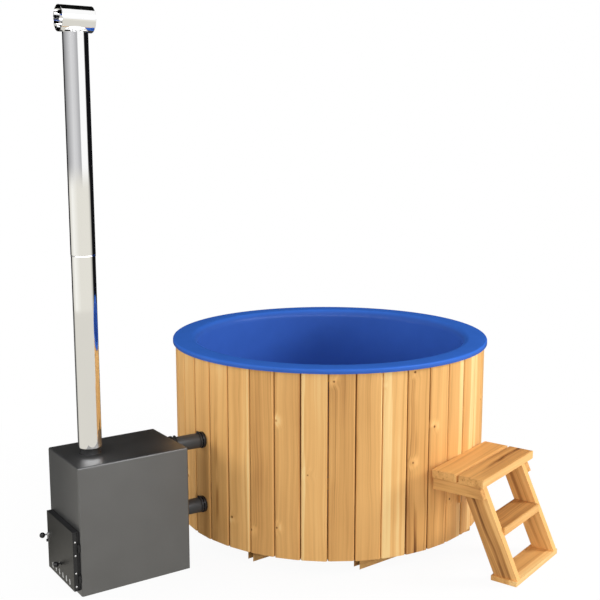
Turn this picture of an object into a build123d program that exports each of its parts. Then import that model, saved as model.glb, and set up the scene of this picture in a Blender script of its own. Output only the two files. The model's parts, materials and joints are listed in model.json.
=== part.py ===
"""Round fibreglass hot tub with timber cladding, an outside wood heater, a flue and timber steps.

The origin is on the ground under the centre of the tub, +Z is up, the heater stands on the -X side
and the joists under the tub lie nearly along X. All sizes are in millimetres.
"""
from build123d import *
import math
import os

# Ground frame and timber cladding
tub_r = 898.0
board_count = 40
board_t = 28.0
board_gap = 0.8
board_bevel_w = 10.0
board_bevel_d = 6.0
board_lift = 1.0
sector_count = 4
joist_h = 60.0
joist_w = 45.0
joist_deg = 4.0
joist_inset = 131.0
joist_pair_pitch = 422.0
middle_joist_l = 1200.0
deck_t = 28.0
seat_gap = 0.3
hoop_depth = 45.0
hoop_h = 45.0
hoop_middle_z = 440.0
hoop_upper_drop = 70.0

# Fibreglass liner
rim_z = 1084.0
rim_overhang = 17.0
rim_lip = 25.0
shell_t = 6.0
rim_w = 143.0
wall_taper = 24.0
bench_w = 318.0
well_taper = 25.0
bench_rise = 410.0
rim_outer_fillet = 10.0
rim_inner_fillet = 34.0
bench_fillet = 60.0
well_lip_fillet = 40.0
well_foot_fillet = 60.0
bench_post_count = 8
bench_post_w = 70.0
bench_post_t = 45.0
bench_post_first_deg = 22.5

# Outside wood heater
heater_gap = 189.5
heater_len = 595.0
heater_w = 406.0
heater_h = 656.0
heater_y = -74.0
casing_t = 4.0
casing_edge_r = 9.0
firebox_t = 5.0
water_gap = 45.0
firebox_floor_z = 58.0
firebox_h = 420.0
ledge_w = 14.0
ledge_h = 8.0
grate_rise = 46.0
grate_t = 12.0
grate_slot_w = 10.0
grate_slot_count = 9
baffle_rise = 330.0
baffle_t = 8.0
baffle_gap = 120.0
ash_pan_t = 2.0
ash_pan_h = 36.0
ash_pan_l = 430.0
ash_pan_side = 16.0

# Fire door, given as depth in front of the heater and as places across and up its front
door_shift = -12.5
door_margin = 26.0
door_bottom_z = 31.0
door_h = 304.0
door_depth = 34.0
door_back_gap = 2.0
door_t = 3.0
frame_t = 10.0
frame_inset = 5.0
throat_side = 41.0
throat_sill = 31.0
seal_w = 10.0
seal_t = 4.0
seal_inset = 3.0
shield_t = 2.0
shield_lap = 2.0
insulation_t = 10.0
spacer_r = 4.0
spacer_inset = 30.0
hinge_depth = 7.0
hinge_offset = 6.0
hinge_r = 6.0
hinge_pin_r = 3.0
running_gap = 0.06
hinge_swing_gap = 1.5
pin_head_r = 5.0
knuckle_h = 18.0
hinge_half_spacing = 80.0
hinge_centre_rise = 139.0
strap_t = 3.0
strap_end = 9.0
strap_inset = 1.0
bolt_r = 5.0
bolt_head_h = 4.0
bolt_pair_half = 34.5

# Air slider and its knob
air_slot_count = 6
air_slot_margin = 36.0
air_slot_w = 12.0
air_slot_h = 30.0
air_slot_rise = 30.0
slider_t = 2.5
slider_rise = 9.0
slider_h = 86.0
slider_margin = 17.5
slide_gap = 0.3
guide_lip = 5.0
guide_t = 2.5
guide_web = 4.0
knob_rise = 82.0
knob_r = 14.5
knob_stem_r = 4.0
knob_reach = 26.0

# Turning latch
latch_inset = 14.5
latch_rise = 150.0
latch_spindle_r = 5.0
latch_lever_w = 20.0
latch_lever_t = 5.0
latch_lever_l = 32.0
latch_nut_r = 8.0
latch_nut_h = 7.0
latch_ball_r = 14.5
latch_ball_reach = 28.0
latch_stem_r = 4.0
latch_cam_l = 26.0
latch_cam_w = 11.0
latch_cam_t = 5.0
latch_cam_depth = 20.0
keeper_w = 10.0
keeper_foot_h = 6.0
keeper_lip = 14.0
keeper_t = 3.0

# Flue
flue_inset = 147.5
neck_r = 50.0
neck_t = 3.0
neck_rise = 32.0
neck_shoulder_h = 3.0
flue_r = 59.2
flue_t = 1.0
flue_lower_l = 962.0
flue_upper_l = 1037.0
flue_lap = 47.0
flue_sleeve_gap = 0.3
cap_rise = 83.0
cap_r = 62.0
cap_l = 164.0
cap_t = 1.2
cap_neck_r = 34.0
cap_seat = 1.0

# Circulation pipes between the heater and the tub
pipe_upper_z = 611.0
pipe_lower_z = 247.0
pipe_r = 31.5
pipe_t = 4.5
hose_r = 40.5
stub_reach = 60.0
stub_inside = 25.0
stub_flange_r = 50.0
stub_flange_t = 10.0
wall_ring_r = 47.0
wall_ring_t = 9.0
spigot_reach = 50.0
hose_end_gap = 3.0
clamp_w = 10.0
clamp_t = 1.2
clamp_inset = 6.0
clamp_screw_l = 22.0
clamp_screw_r = 5.0
inner_flange_r = 52.0
inner_flange_t = 6.0
grille_t = 3.0
grille_hole_r = 4.0
grille_hole_count = 8
grille_ring_r = 17.0

# Drain
drain_y = 192.0
drain_pipe_r = 25.0
drain_pipe_t = 4.0
drain_flange_r = 55.0
drain_flange_t = 5.0
strainer_r = 40.0
strainer_t = 4.0
valve_reach = 27.0
valve_r = 29.0
valve_half = 32.0
ball_r = 25.0
ball_gap = 0.3
valve_bore_step = 0.9
stem_r = 5.0
gland_r = 10.0
gland_top_z = 63.0
lever_l = 105.0
lever_w = 16.0
lever_t = 4.0
lever_gap = 0.5
grip_l = 60.0
grip_t = 2.5
outlet_l = 34.0

# Steps
step_deg = -71.0
step_side = -46.4
step_wall_gap = 0.3
plank_w = 140.0
plank_t = 42.0
plank_gap = 9.0
platform_z = 531.0
platform_w = 599.0
stringer_w = 116.0
stringer_t = 38.0
stringer_deg = 24.5
stringer_span = 495.0
foot_reach = 470.0
foot_w = 514.0
foot_t = 26.0
bearer_h = 66.0
tread_z = 273.0
tread_nose = 18.0
cleat_h = 28.0
cleat_t = 20.0
cleat_l = 96.0
cleat_back = 22.0
wall_stop_w = 116.0
wall_stop_t = 12.0
wall_stop_shift = 53.0
wall_stop_bottom_z = 261.0

os.makedirs("parts", exist_ok=True)


def keep(name, *shapes):
    """Writes the solids of the given shapes as one named file."""
    solids = [solid for shape in shapes for solid in shape.solids()]
    export_step(Compound(solids), f"parts/{name}.step")


def slab(x, y, z):
    """A block between two limits along each axis."""
    centre = ((x[0] + x[1]) / 2, (y[0] + y[1]) / 2, (z[0] + z[1]) / 2)
    return Pos(*centre) * Box(x[1] - x[0], y[1] - y[0], z[1] - z[0])


def post(x, y, r, z):
    """An upright cylinder between two heights."""
    return Pos(x, y, (z[0] + z[1]) / 2) * Cylinder(r, z[1] - z[0])


def rod(y, z, r, x):
    """A cylinder along X between two limits."""
    return Pos((x[0] + x[1]) / 2, y, z) * Rot(0, 90, 0) * Cylinder(r, x[1] - x[0])


def pin_along_y(x, z, r, y):
    """A cylinder along Y between two limits."""
    return Pos(x, (y[0] + y[1]) / 2, z) * Rot(90, 0, 0) * Cylinder(r, y[1] - y[0])


def ring(r_in, r_out, z):
    """An upright tube about the tub's axis."""
    return post(0, 0, r_out, z) - post(0, 0, r_in, z)


def spun(points, radii):
    """The area between the tub's axis and a rounded line, as a solid of revolution."""
    line = FilletPolyline(*points, radius=radii)
    closing = Polyline(points[-1], (0, points[0][1]), points[0])
    if points[-1][0] > 0:
        closing = Polyline(points[-1], (0, points[-1][1]), (0, points[0][1]), points[0])
    return revolve(Plane.XZ * make_face(line + closing), Axis.Z)


# Derived levels and radii of the tub
rim_r = tub_r + rim_overhang
wall_top_r = rim_r - rim_w
wall_foot_r = wall_top_r - wall_taper
well_top_r = wall_foot_r - bench_w
well_foot_r = well_top_r - well_taper
board_inner_r = tub_r - board_t
board_pitch_deg = 360.0 / board_count
deck_z = joist_h
floor_z = deck_z + deck_t
well_z = floor_z + shell_t
bench_z = well_z + bench_rise
board_bottom_z = joist_h + board_lift
board_top_z = rim_z - shell_t - seat_gap
board_corner_r = tub_r / math.cos(math.radians(board_pitch_deg / 2))
outer_joist_y = board_inner_r - joist_inset
inner_joist_y = outer_joist_y - joist_pair_pitch


def make_joists():
    """Timber joists under the tub: two a side cut to the round of the deck, and a short one between."""
    halves = {0: middle_joist_l / 2}
    for y in (-outer_joist_y, -inner_joist_y, inner_joist_y, outer_joist_y):
        far_side = abs(y) + joist_w / 2
        halves[y] = math.sqrt(board_inner_r**2 - far_side**2)
    for y, half in halves.items():
        yield Rot(0, 0, joist_deg) * slab((-half, half), (y - joist_w / 2, y + joist_w / 2), (0, joist_h))


def make_board(index):
    """One flat cladding board with bevelled outer corners, in its place on the ring."""
    half_angle = math.tan(math.radians(board_pitch_deg / 2))
    outer = tub_r * half_angle - board_gap / 2
    inner = board_inner_r * half_angle - board_gap / 2
    outline = Polyline(
        (board_inner_r, -inner),
        (tub_r - board_bevel_d, -outer + board_bevel_d * half_angle),
        (tub_r, -outer + board_bevel_w),
        (tub_r, outer - board_bevel_w),
        (tub_r - board_bevel_d, outer - board_bevel_d * half_angle),
        (board_inner_r, inner),
        close=True,
    )
    board = extrude(make_face(outline), board_top_z - board_bottom_z)
    turn = (index + 0.5) * board_pitch_deg
    return Rot(0, 0, turn) * Pos(0, 0, board_bottom_z) * board


# Fibreglass liner: one thin shell, from the rim's lip down to the middle of the well's floor
surface_points = [
    (rim_r, rim_z - rim_lip),
    (rim_r, rim_z),
    (wall_top_r, rim_z),
    (wall_foot_r, bench_z),
    (well_top_r, bench_z),
    (well_foot_r, well_z),
    (0, well_z),
]
surface_radii = [rim_outer_fillet, rim_inner_fillet, bench_fillet, well_lip_fillet, well_foot_fillet]


def make_liner():
    """The shell follows its visible surface, with the same thickness everywhere."""
    surface = FilletPolyline(*surface_points, radius=surface_radii)
    section = make_face(offset(surface, shell_t, side=Side.RIGHT))
    return revolve(Plane.XZ * section, Axis.Z)


def wall_x(z):
    """How far the liner's inner face lies from the YZ plane at a pipe's height."""
    if z > bench_z:
        share = (z - bench_z) / (rim_z - bench_z)
        r = wall_foot_r + share * (wall_top_r - wall_foot_r)
    else:
        share = (z - well_z) / (bench_z - well_z)
        r = well_foot_r + share * (well_top_r - well_foot_r)
    return -math.sqrt(r**2 - heater_y**2)


water = spun(
    [
        (wall_top_r, rim_z),
        (wall_foot_r, bench_z),
        (well_top_r, bench_z),
        (well_foot_r, well_z),
        (0, well_z),
    ],
    [bench_fillet, well_lip_fillet, well_foot_fillet],
)
pipe_levels = {"upper": pipe_upper_z, "lower": pipe_lower_z}
pipe_bore_r = pipe_r - pipe_t
drain_z = joist_h / 2
drain_bore_r = drain_pipe_r - drain_pipe_t

liner = make_liner()
for level in pipe_levels.values():
    liner -= rod(heater_y, level, pipe_r, (-tub_r, -well_foot_r / 2))
liner -= post(0, drain_y, drain_pipe_r, (0, well_z + shell_t))
keep("liner", liner)

keep("joists", *make_joists())
deck = post(0, 0, board_inner_r - seat_gap, (deck_z, floor_z))
deck -= post(0, drain_y, drain_pipe_r, (0, floor_z))
keep("deck", deck)

hoop_out_r = board_inner_r - seat_gap
hoop_in_r = hoop_out_r - hoop_depth
hoop_upper_z = board_top_z - hoop_upper_drop
hoop_levels = (floor_z, hoop_middle_z, hoop_upper_z)
keep("hoops", *[ring(hoop_in_r, hoop_out_r, (z, z + hoop_h)) for z in hoop_levels])

bench_under_z = bench_z - shell_t
bench_post_r = (wall_foot_r + well_top_r) / 2
bench_post = slab(
    (bench_post_r - bench_post_w / 2, bench_post_r + bench_post_w / 2),
    (-bench_post_t / 2, bench_post_t / 2),
    (floor_z, bench_under_z),
)
bench_post_turns = [bench_post_first_deg + 360.0 / bench_post_count * i for i in range(bench_post_count)]
keep("bench_posts", *[Rot(0, 0, turn) * bench_post for turn in bench_post_turns])

boards = [make_board(i) for i in range(board_count)]
pipe_hole_r = pipe_r + seat_gap
for i in range(board_count):
    middle = (i + 0.5) * board_pitch_deg
    if abs(middle - 180) < 2 * board_pitch_deg:
        for level in pipe_levels.values():
            boards[i] -= rod(heater_y, level, pipe_hole_r, (-board_corner_r - shell_t, -hoop_in_r))
per_sector = board_count // sector_count
for i, name in enumerate(("back_right", "back_left", "front_left", "front_right")):
    first = i * per_sector
    last = board_count if i == sector_count - 1 else first + per_sector
    keep(f"cladding_{name}", *boards[first:last])

# Wall fittings, hoses and clamps
prism = extrude(RegularPolygon(tub_r, board_count, major_radius=False), rim_z)
heater_back_x = -tub_r - heater_gap
ring_x = -board_corner_r - wall_ring_t
spigot_x = -board_corner_r - spigot_reach
hose_wall_x = ring_x - hose_end_gap
stub_x = heater_back_x + stub_reach
hose_heater_x = heater_back_x + stub_flange_t + hose_end_gap
hose_bore_r = pipe_r + seat_gap

rings = []
grilles = []
clamps = []
stubs = []
for name, level in pipe_levels.items():
    inside_x = wall_x(level) + inner_flange_t
    bore = rod(heater_y, level, pipe_bore_r, (spigot_x, inside_x))
    tube = rod(heater_y, level, pipe_r, (spigot_x, inside_x))
    flange = rod(heater_y, level, inner_flange_r, (wall_x(level) - inner_flange_r, inside_x)) & water
    keep(f"wall_fitting_{name}", tube + flange - bore)

    cover = rod(heater_y, level, wall_ring_r, (ring_x, -board_inner_r)) - prism
    rings.append(cover - rod(heater_y, level, pipe_r, (ring_x, -board_inner_r)))

    grille = rod(heater_y, level, pipe_bore_r, (inside_x - grille_t, inside_x))
    for i in range(grille_hole_count):
        turn = math.radians(360.0 / grille_hole_count * i)
        y = heater_y + grille_ring_r * math.cos(turn)
        z = level + grille_ring_r * math.sin(turn)
        grille -= rod(y, z, grille_hole_r, (inside_x - grille_t, inside_x))
    grilles.append(grille - rod(heater_y, level, grille_hole_r, (inside_x - grille_t, inside_x)))

    hose = rod(heater_y, level, hose_r, (hose_heater_x, hose_wall_x))
    hose -= rod(heater_y, level, hose_bore_r, (hose_heater_x, hose_wall_x))
    keep(f"hose_{name}", hose)

    for start in (hose_heater_x + clamp_inset, hose_wall_x - clamp_inset - clamp_w):
        band_x = (start, start + clamp_w)
        band = rod(heater_y, level, hose_r + clamp_t, band_x)
        screw_y = (heater_y - clamp_screw_l / 2, heater_y + clamp_screw_l / 2)
        band += pin_along_y(start + clamp_w / 2, level + hose_r + clamp_screw_r, clamp_screw_r, screw_y)
        clamps.append(band - rod(heater_y, level, hose_r, band_x))

    stub = rod(heater_y, level, pipe_r, (heater_back_x - stub_inside, stub_x))
    stub += rod(heater_y, level, stub_flange_r, (heater_back_x, heater_back_x + stub_flange_t))
    stubs.append(stub - rod(heater_y, level, pipe_bore_r, (heater_back_x - stub_inside, stub_x)))
keep("wall_rings", *rings)
keep("fitting_grilles", *grilles)
keep("hose_clamps", *clamps)
keep("heater_stubs", *stubs)

# Drain
drain_inside_z = well_z + drain_flange_t
drain_body = post(0, drain_y, drain_flange_r, (well_z, drain_inside_z))
drain_body += post(0, drain_y, drain_pipe_r, (drain_z + drain_pipe_r, drain_inside_z))
strainer_seat_z = drain_inside_z - strainer_t / 2
drain_body -= post(0, drain_y, strainer_r, (strainer_seat_z, drain_inside_z))
keep("drain_body", drain_body - post(0, drain_y, drain_bore_r, (drain_z, drain_inside_z)))

strainer = post(0, drain_y, strainer_r, (strainer_seat_z, strainer_seat_z + strainer_t))
for i in range(grille_hole_count):
    turn = math.radians(360.0 / grille_hole_count * i)
    x = grille_ring_r * math.cos(turn)
    y = drain_y + grille_ring_r * math.sin(turn)
    strainer -= post(x, y, grille_hole_r, (strainer_seat_z, strainer_seat_z + strainer_t))
keep("drain_strainer", strainer)

valve_x = tub_r + valve_reach
valve_start_x = valve_x - valve_half
elbow_z = (drain_z, drain_z + drain_pipe_r)
drain_pipe = Pos(0, drain_y, drain_z) * Sphere(drain_pipe_r) + post(0, drain_y, drain_pipe_r, elbow_z)
drain_pipe += rod(drain_y, drain_z, drain_pipe_r, (0, valve_start_x))
drain_pipe -= Pos(0, drain_y, drain_z) * Sphere(drain_bore_r)
drain_pipe -= post(0, drain_y, drain_bore_r, elbow_z)
drain_pipe -= rod(drain_y, drain_z, drain_bore_r, (0, valve_start_x))
keep("drain_pipe", drain_pipe)

valve_end_x = valve_x + valve_half
cavity_r = ball_r + ball_gap
valve_bore_r = drain_bore_r - valve_bore_step
ball_centre = Pos(valve_x, drain_y, drain_z)
housing = rod(drain_y, drain_z, valve_r, (valve_start_x, valve_end_x))
housing += post(valve_x, drain_y, gland_r, (drain_z, gland_top_z))
housing -= ball_centre * Sphere(cavity_r)
housing -= rod(drain_y, drain_z, cavity_r, (valve_x, valve_end_x))
housing -= rod(drain_y, drain_z, valve_bore_r, (valve_start_x, valve_x))
housing -= post(valve_x, drain_y, stem_r + running_gap, (drain_z, gland_top_z))
keep("drain_valve_body", housing)

outlet_x = valve_end_x + outlet_l
insert_x = valve_x + ball_r / 2
outlet = rod(drain_y, drain_z, cavity_r, (insert_x, valve_end_x))
outlet += rod(drain_y, drain_z, drain_pipe_r, (valve_end_x, outlet_x))
outlet -= ball_centre * Rot(0, 90, 0) * Sphere(cavity_r)
keep("drain_outlet", outlet - rod(drain_y, drain_z, valve_bore_r, (valve_x, outlet_x)))

lever_z = gland_top_z + lever_gap
valve_ball = ball_centre * Sphere(ball_r) + post(valve_x, drain_y, stem_r, (drain_z, lever_z + lever_t))
valve_ball -= pin_along_y(valve_x, drain_z, valve_bore_r, (drain_y - ball_r, drain_y + ball_r))
keep("drain_valve_ball", valve_ball)

drain_lever = slab(
    (valve_x - lever_w / 2, valve_x + lever_w / 2),
    (drain_y - lever_w / 2, drain_y + lever_l),
    (lever_z, lever_z + lever_t),
)
drain_lever -= post(valve_x, drain_y, stem_r, (lever_z, lever_z + lever_t))
keep("drain_valve_lever", drain_lever)
grip_x = (valve_x - lever_w / 2 - grip_t, valve_x + lever_w / 2 + grip_t)
grip_y = (drain_y + lever_l - grip_l, drain_y + lever_l + grip_t)
grip = slab(grip_x, grip_y, (lever_z - grip_t, lever_z + lever_t + grip_t))
keep("drain_lever_grip", grip - drain_lever)

# Heater casing, base, firebox, grate and baffle
front_x = heater_back_x - heater_len
flue_x = front_x + flue_inset
door_y = heater_y + door_shift
door_w = heater_w - 2 * door_margin
throat_w = door_w - 2 * throat_side
throat_bottom_z = door_bottom_z + throat_sill
throat_h = door_h - 2 * throat_sill
side_left_y = heater_y + heater_w / 2
side_right_y = heater_y - heater_w / 2
throat_y = (door_y - throat_w / 2, door_y + throat_w / 2)
throat_z = (throat_bottom_z, throat_bottom_z + throat_h)


def depth(near, far):
    """Limits along X of what lies between two depths in front of the heater."""
    return (front_x - far, front_x - near)


casing = slab((front_x, heater_back_x), (side_right_y, side_left_y), (0, heater_h))
casing = fillet(casing.edges().filter_by(Axis.Z) + casing.faces().sort_by(Axis.Z)[-1].edges(), casing_edge_r)
inner_x = (front_x + casing_t, heater_back_x - casing_t)
inner_y = (side_right_y + casing_t, side_left_y - casing_t)
casing -= slab(inner_x, inner_y, (0, heater_h - casing_t))
casing -= slab(depth(-casing_t, 0), throat_y, throat_z)
casing -= post(flue_x, heater_y, neck_r, (heater_h - casing_t, heater_h))
for level in pipe_levels.values():
    casing -= rod(heater_y, level, pipe_r, (heater_back_x - casing_t, heater_back_x))
keep("heater_casing", casing)
keep("heater_base", slab(inner_x, inner_y, (0, casing_t)))

box_x = (inner_x[0], inner_x[1] - water_gap)
box_y = (inner_y[0] + water_gap, inner_y[1] - water_gap)
box_z = (firebox_floor_z - firebox_t, firebox_floor_z + firebox_h + firebox_t)
fire_x = (box_x[0], box_x[1] - firebox_t)
fire_y = (box_y[0] + firebox_t, box_y[1] - firebox_t)
fire_z = (firebox_floor_z, firebox_floor_z + firebox_h)
grate_z = firebox_floor_z + grate_rise
baffle_z = firebox_floor_z + baffle_rise
firebox = slab(box_x, box_y, box_z) - slab(fire_x, fire_y, fire_z)
for top in (grate_z, baffle_z):
    for y in ((fire_y[0], fire_y[0] + ledge_w), (fire_y[1] - ledge_w, fire_y[1])):
        firebox += slab(fire_x, y, (top - ledge_h, top))
firebox -= post(flue_x, heater_y, neck_r, (fire_z[1], box_z[1]))
foot_y = (heater_y - ledge_w, heater_y + ledge_w)
for x in (box_x[0] + water_gap, box_x[1] - water_gap - ledge_w):
    firebox += slab((x, x + ledge_w), foot_y, (casing_t, box_z[0]))
keep("firebox", firebox)

loose_x = (fire_x[0] + seat_gap, fire_x[1] - seat_gap)
loose_y = (fire_y[0] + seat_gap, fire_y[1] - seat_gap)
grate = slab(loose_x, loose_y, (grate_z, grate_z + grate_t))
slot_x = (loose_x[0] + water_gap, loose_x[1] - water_gap)
slot_pitch = (loose_y[1] - loose_y[0] - 2 * ledge_w) / grate_slot_count
for i in range(grate_slot_count):
    y = loose_y[0] + ledge_w + (i + 0.5) * slot_pitch
    grate -= slab(slot_x, (y - grate_slot_w / 2, y + grate_slot_w / 2), (grate_z, grate_z + grate_t))
keep("grate", grate)
keep("baffle", slab((loose_x[0], loose_x[1] - baffle_gap), loose_y, (baffle_z, baffle_z + baffle_t)))

pan_x = (fire_x[0] + ledge_w, fire_x[0] + ledge_w + ash_pan_l)
pan_y = (throat_y[0] + ash_pan_side, throat_y[1] - ash_pan_side)
pan_z = (throat_bottom_z, throat_bottom_z + ash_pan_h)
ash_pan = slab(pan_x, pan_y, pan_z) - slab(
    (pan_x[0] + ash_pan_t, pan_x[1] - ash_pan_t),
    (pan_y[0] + ash_pan_t, pan_y[1] - ash_pan_t),
    (pan_z[0] + ash_pan_t, pan_z[1]),
)
for y in (pan_y[0], pan_y[1] - ledge_w):
    ash_pan += slab(pan_x, (y, y + ledge_w), (firebox_floor_z, pan_z[0]))
keep("ash_pan", ash_pan)

# Flue neck, two flue sections and the open-ended cap
neck_shoulder_z = heater_h + neck_rise
flue_foot_z = neck_shoulder_z + neck_shoulder_h
flue_joint_z = flue_foot_z + flue_lower_l
cap_leg_foot_z = flue_joint_z + flue_upper_l
cap_axis_z = cap_leg_foot_z + cap_rise
flue_bore_r = flue_r - flue_t
spigot_r = flue_bore_r - flue_sleeve_gap
spigot_top_z = flue_foot_z + flue_lap
neck = post(flue_x, heater_y, neck_r, (fire_z[1], neck_shoulder_z))
neck += post(flue_x, heater_y, flue_r - flue_t / 2, (neck_shoulder_z, flue_foot_z))
neck += post(flue_x, heater_y, spigot_r, (flue_foot_z, spigot_top_z))
keep("flue_neck", neck - post(flue_x, heater_y, neck_r - neck_t, (fire_z[1], spigot_top_z)))


def flue_tube(r_in, r_out, z):
    """A length of flue about the flue's axis."""
    return post(flue_x, heater_y, r_out, z) - post(flue_x, heater_y, r_in, z)


sleeve_r = flue_r + flue_sleeve_gap
upper_r = sleeve_r + cap_t
cap_spigot_r = sleeve_r - flue_sleeve_gap
cap_bore_r = cap_spigot_r - cap_t
keep("flue_lower", flue_tube(flue_bore_r, flue_r, (flue_foot_z, flue_joint_z + flue_lap)))
keep("flue_upper", flue_tube(sleeve_r, upper_r, (flue_joint_z, cap_leg_foot_z)))
cap_x = (flue_x - cap_l / 2, flue_x + cap_l / 2)
cap_leg_top_z = cap_axis_z - cap_r + cap_seat
cap_neck_foot_z = cap_leg_top_z - cap_t
cap = rod(heater_y, cap_axis_z, cap_r, cap_x)
cap += post(flue_x, heater_y, cap_neck_r, (cap_neck_foot_z, cap_axis_z))
cap += post(flue_x, heater_y, upper_r, (cap_leg_foot_z, cap_leg_top_z))
cap += post(flue_x, heater_y, cap_spigot_r, (cap_leg_foot_z - flue_lap, cap_leg_foot_z))
cap -= post(flue_x, heater_y, cap_bore_r, (cap_leg_foot_z - flue_lap, cap_neck_foot_z))
cap -= post(flue_x, heater_y, cap_neck_r - cap_t, (cap_neck_foot_z, cap_axis_z))
keep("flue_cap", cap - rod(heater_y, cap_axis_z, cap_r - cap_t, cap_x))

# Door frame, welded to the heater's front, with its hinge knuckles and the latch's keeper
door_right_y = door_y - door_w / 2
door_left_y = door_y + door_w / 2
door_top_z = door_bottom_z + door_h
latch_y = door_left_y - latch_inset
latch_z = door_bottom_z + latch_rise
hinge_centre_z = door_bottom_z + hinge_centre_rise
door_inner = door_depth - door_t
frame_y = (door_right_y + frame_inset, door_left_y - frame_inset)
frame_z = (door_bottom_z + frame_inset, door_top_z - frame_inset)
hinge_x = front_x - hinge_depth
hinge_y = door_right_y - hinge_offset
hinge_levels = (hinge_centre_z - hinge_half_spacing, hinge_centre_z + hinge_half_spacing)

frame = slab(depth(0, frame_t), frame_y, frame_z) - slab(depth(0, frame_t), throat_y, throat_z)
for z in hinge_levels:
    knuckle_z = (z - knuckle_h, z)
    frame += slab(depth(hinge_depth - hinge_r / 2, frame_t), (hinge_y, frame_y[0]), knuckle_z)
    frame += post(hinge_x, hinge_y, hinge_r, knuckle_z)
    frame -= post(hinge_x, hinge_y, hinge_pin_r, knuckle_z)
cam_swing_r = math.hypot(latch_cam_l, latch_cam_w / 2)
keeper_top_z = latch_z - cam_swing_r - slide_gap
lip_depth = latch_cam_depth + latch_cam_t + slide_gap
keeper_y = (latch_y - keeper_w / 2, latch_y + keeper_w / 2)
keeper_foot = (keeper_top_z - keeper_foot_h, keeper_top_z)
frame += slab(depth(0, lip_depth + keeper_t), keeper_y, keeper_foot)
lip_z = (keeper_foot[0], keeper_foot[1] + keeper_lip)
frame += slab(depth(lip_depth, lip_depth + keeper_t), keeper_y, lip_z)
keep("door_frame", frame)

seal_y = (throat_y[0] - seal_inset, throat_y[1] + seal_inset)
seal_z = (throat_z[0] - seal_inset, throat_z[1] + seal_inset)
seal_depth = depth(frame_t, frame_t + seal_t)
seal = slab(seal_depth, (seal_y[0] - seal_w, seal_y[1] + seal_w), (seal_z[0] - seal_w, seal_z[1] + seal_w))
keep("door_seal", seal - slab(seal_depth, seal_y, seal_z))

# Door pan with its air slots, the knob's slot and the latch's hole
air_slot_pitch = (door_w - 2 * air_slot_margin) / air_slot_count
air_slot_z = door_bottom_z + air_slot_rise
slider_bottom_z = door_bottom_z + slider_rise
slider_top_z = slider_bottom_z + slider_h
knob_z = door_bottom_z + knob_rise
air_slot_y = [door_y + (i - (air_slot_count - 1) / 2) * air_slot_pitch for i in range(air_slot_count)]
slider_travel = air_slot_pitch / 2
front_depth = depth(door_inner, door_depth)


def air_slots(x, shift):
    """Cutters for the row of upright air slots, with rounded ends."""
    straight = (air_slot_h - air_slot_w) / 2
    for y in air_slot_y:
        middle = y + shift
        yield slab(
            x,
            (middle - air_slot_w / 2, middle + air_slot_w / 2),
            (air_slot_z - straight, air_slot_z + straight),
        )
        for z in (air_slot_z - straight, air_slot_z + straight):
            yield rod(middle, z, air_slot_w / 2, x)


door_pan = slab(depth(door_back_gap, door_depth), (door_right_y, door_left_y), (door_bottom_z, door_top_z))
door_pan -= slab(
    depth(door_back_gap, door_inner),
    (door_right_y + door_t, door_left_y - door_t),
    (door_bottom_z + door_t, door_top_z - door_t),
)
hinge_clear = hinge_depth + hinge_r + hinge_swing_gap
door_pan -= slab(
    depth(door_back_gap, hinge_clear),
    (door_right_y, door_right_y + door_t),
    (door_bottom_z + door_t, door_top_z - door_t),
)
for cutter in air_slots(front_depth, 0):
    door_pan -= cutter
stem_half_h = knob_stem_r + slide_gap
stem_slot_y = (door_y, door_y + slider_travel)
door_pan -= slab(front_depth, stem_slot_y, (knob_z - stem_half_h, knob_z + stem_half_h))
for y in stem_slot_y:
    door_pan -= rod(y, knob_z, stem_half_h, front_depth)
door_pan -= rod(latch_y, latch_z, latch_spindle_r + running_gap, front_depth)
keep("door_pan", door_pan)

# Heat shield and insulation inside the door, held off its front by spacers
shield_depth = frame_t + seal_t + slide_gap
shield_y = (seal_y[0] - seal_w - shield_lap, seal_y[1] + seal_w + shield_lap)
shield_z = (seal_z[0] - seal_w - shield_lap, seal_z[1] + seal_w + shield_lap)
shield = slab(depth(shield_depth, shield_depth + shield_t), shield_y, shield_z)
window_y = (throat_y[0] + seal_w, throat_y[1] - seal_w)
window_z = (throat_z[0] + shield_lap, slider_top_z)
keep("door_shield", shield - slab(depth(shield_depth, shield_depth + shield_t), window_y, window_z))

insulation_depth = shield_depth + shield_t
insulation_y = (throat_y[0] + seal_inset, throat_y[1] - seal_inset)
insulation_z = (slider_top_z + guide_web + seal_w, throat_z[1])
insulation = slab(depth(insulation_depth, insulation_depth + insulation_t), insulation_y, insulation_z)
spacers = []
for y in (insulation_y[0] + spacer_inset, insulation_y[1] - spacer_inset):
    for z in (insulation_z[0] + spacer_inset, insulation_z[1] - spacer_inset):
        spacers.append(rod(y, z, spacer_r, depth(insulation_depth, door_inner)))
        insulation -= rod(y, z, spacer_r, depth(insulation_depth, insulation_depth + insulation_t))
keep("door_insulation", insulation)
keep("shield_spacers", *spacers)

# Hinge strap on the door's side with its knuckles, the bolts and the two pins
strap_y = (door_right_y - strap_t, door_right_y)
strap_depth = (hinge_clear, door_depth - strap_inset)
strap = slab(depth(*strap_depth), strap_y, (door_bottom_z + strap_end, door_top_z - strap_end))
pins = []
for z in hinge_levels:
    knuckle_z = (z + slide_gap, z + slide_gap + knuckle_h)
    strap += slab(depth(hinge_depth, hinge_clear), (hinge_y, door_right_y), knuckle_z)
    strap += slab(depth(hinge_depth + hinge_r / 2, hinge_clear), strap_y, knuckle_z)
    strap += post(hinge_x, hinge_y, hinge_r, knuckle_z)
    strap -= post(hinge_x, hinge_y, hinge_pin_r + running_gap, knuckle_z)
    pin_top = knuckle_z[1] + slide_gap
    pin = post(hinge_x, hinge_y, hinge_pin_r, (z - knuckle_h, pin_top))
    pins.append(pin + post(hinge_x, hinge_y, pin_head_r, (pin_top, pin_top + hinge_pin_r)))
keep("hinge_strap", strap)
keep("hinge_pins", *pins)

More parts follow.
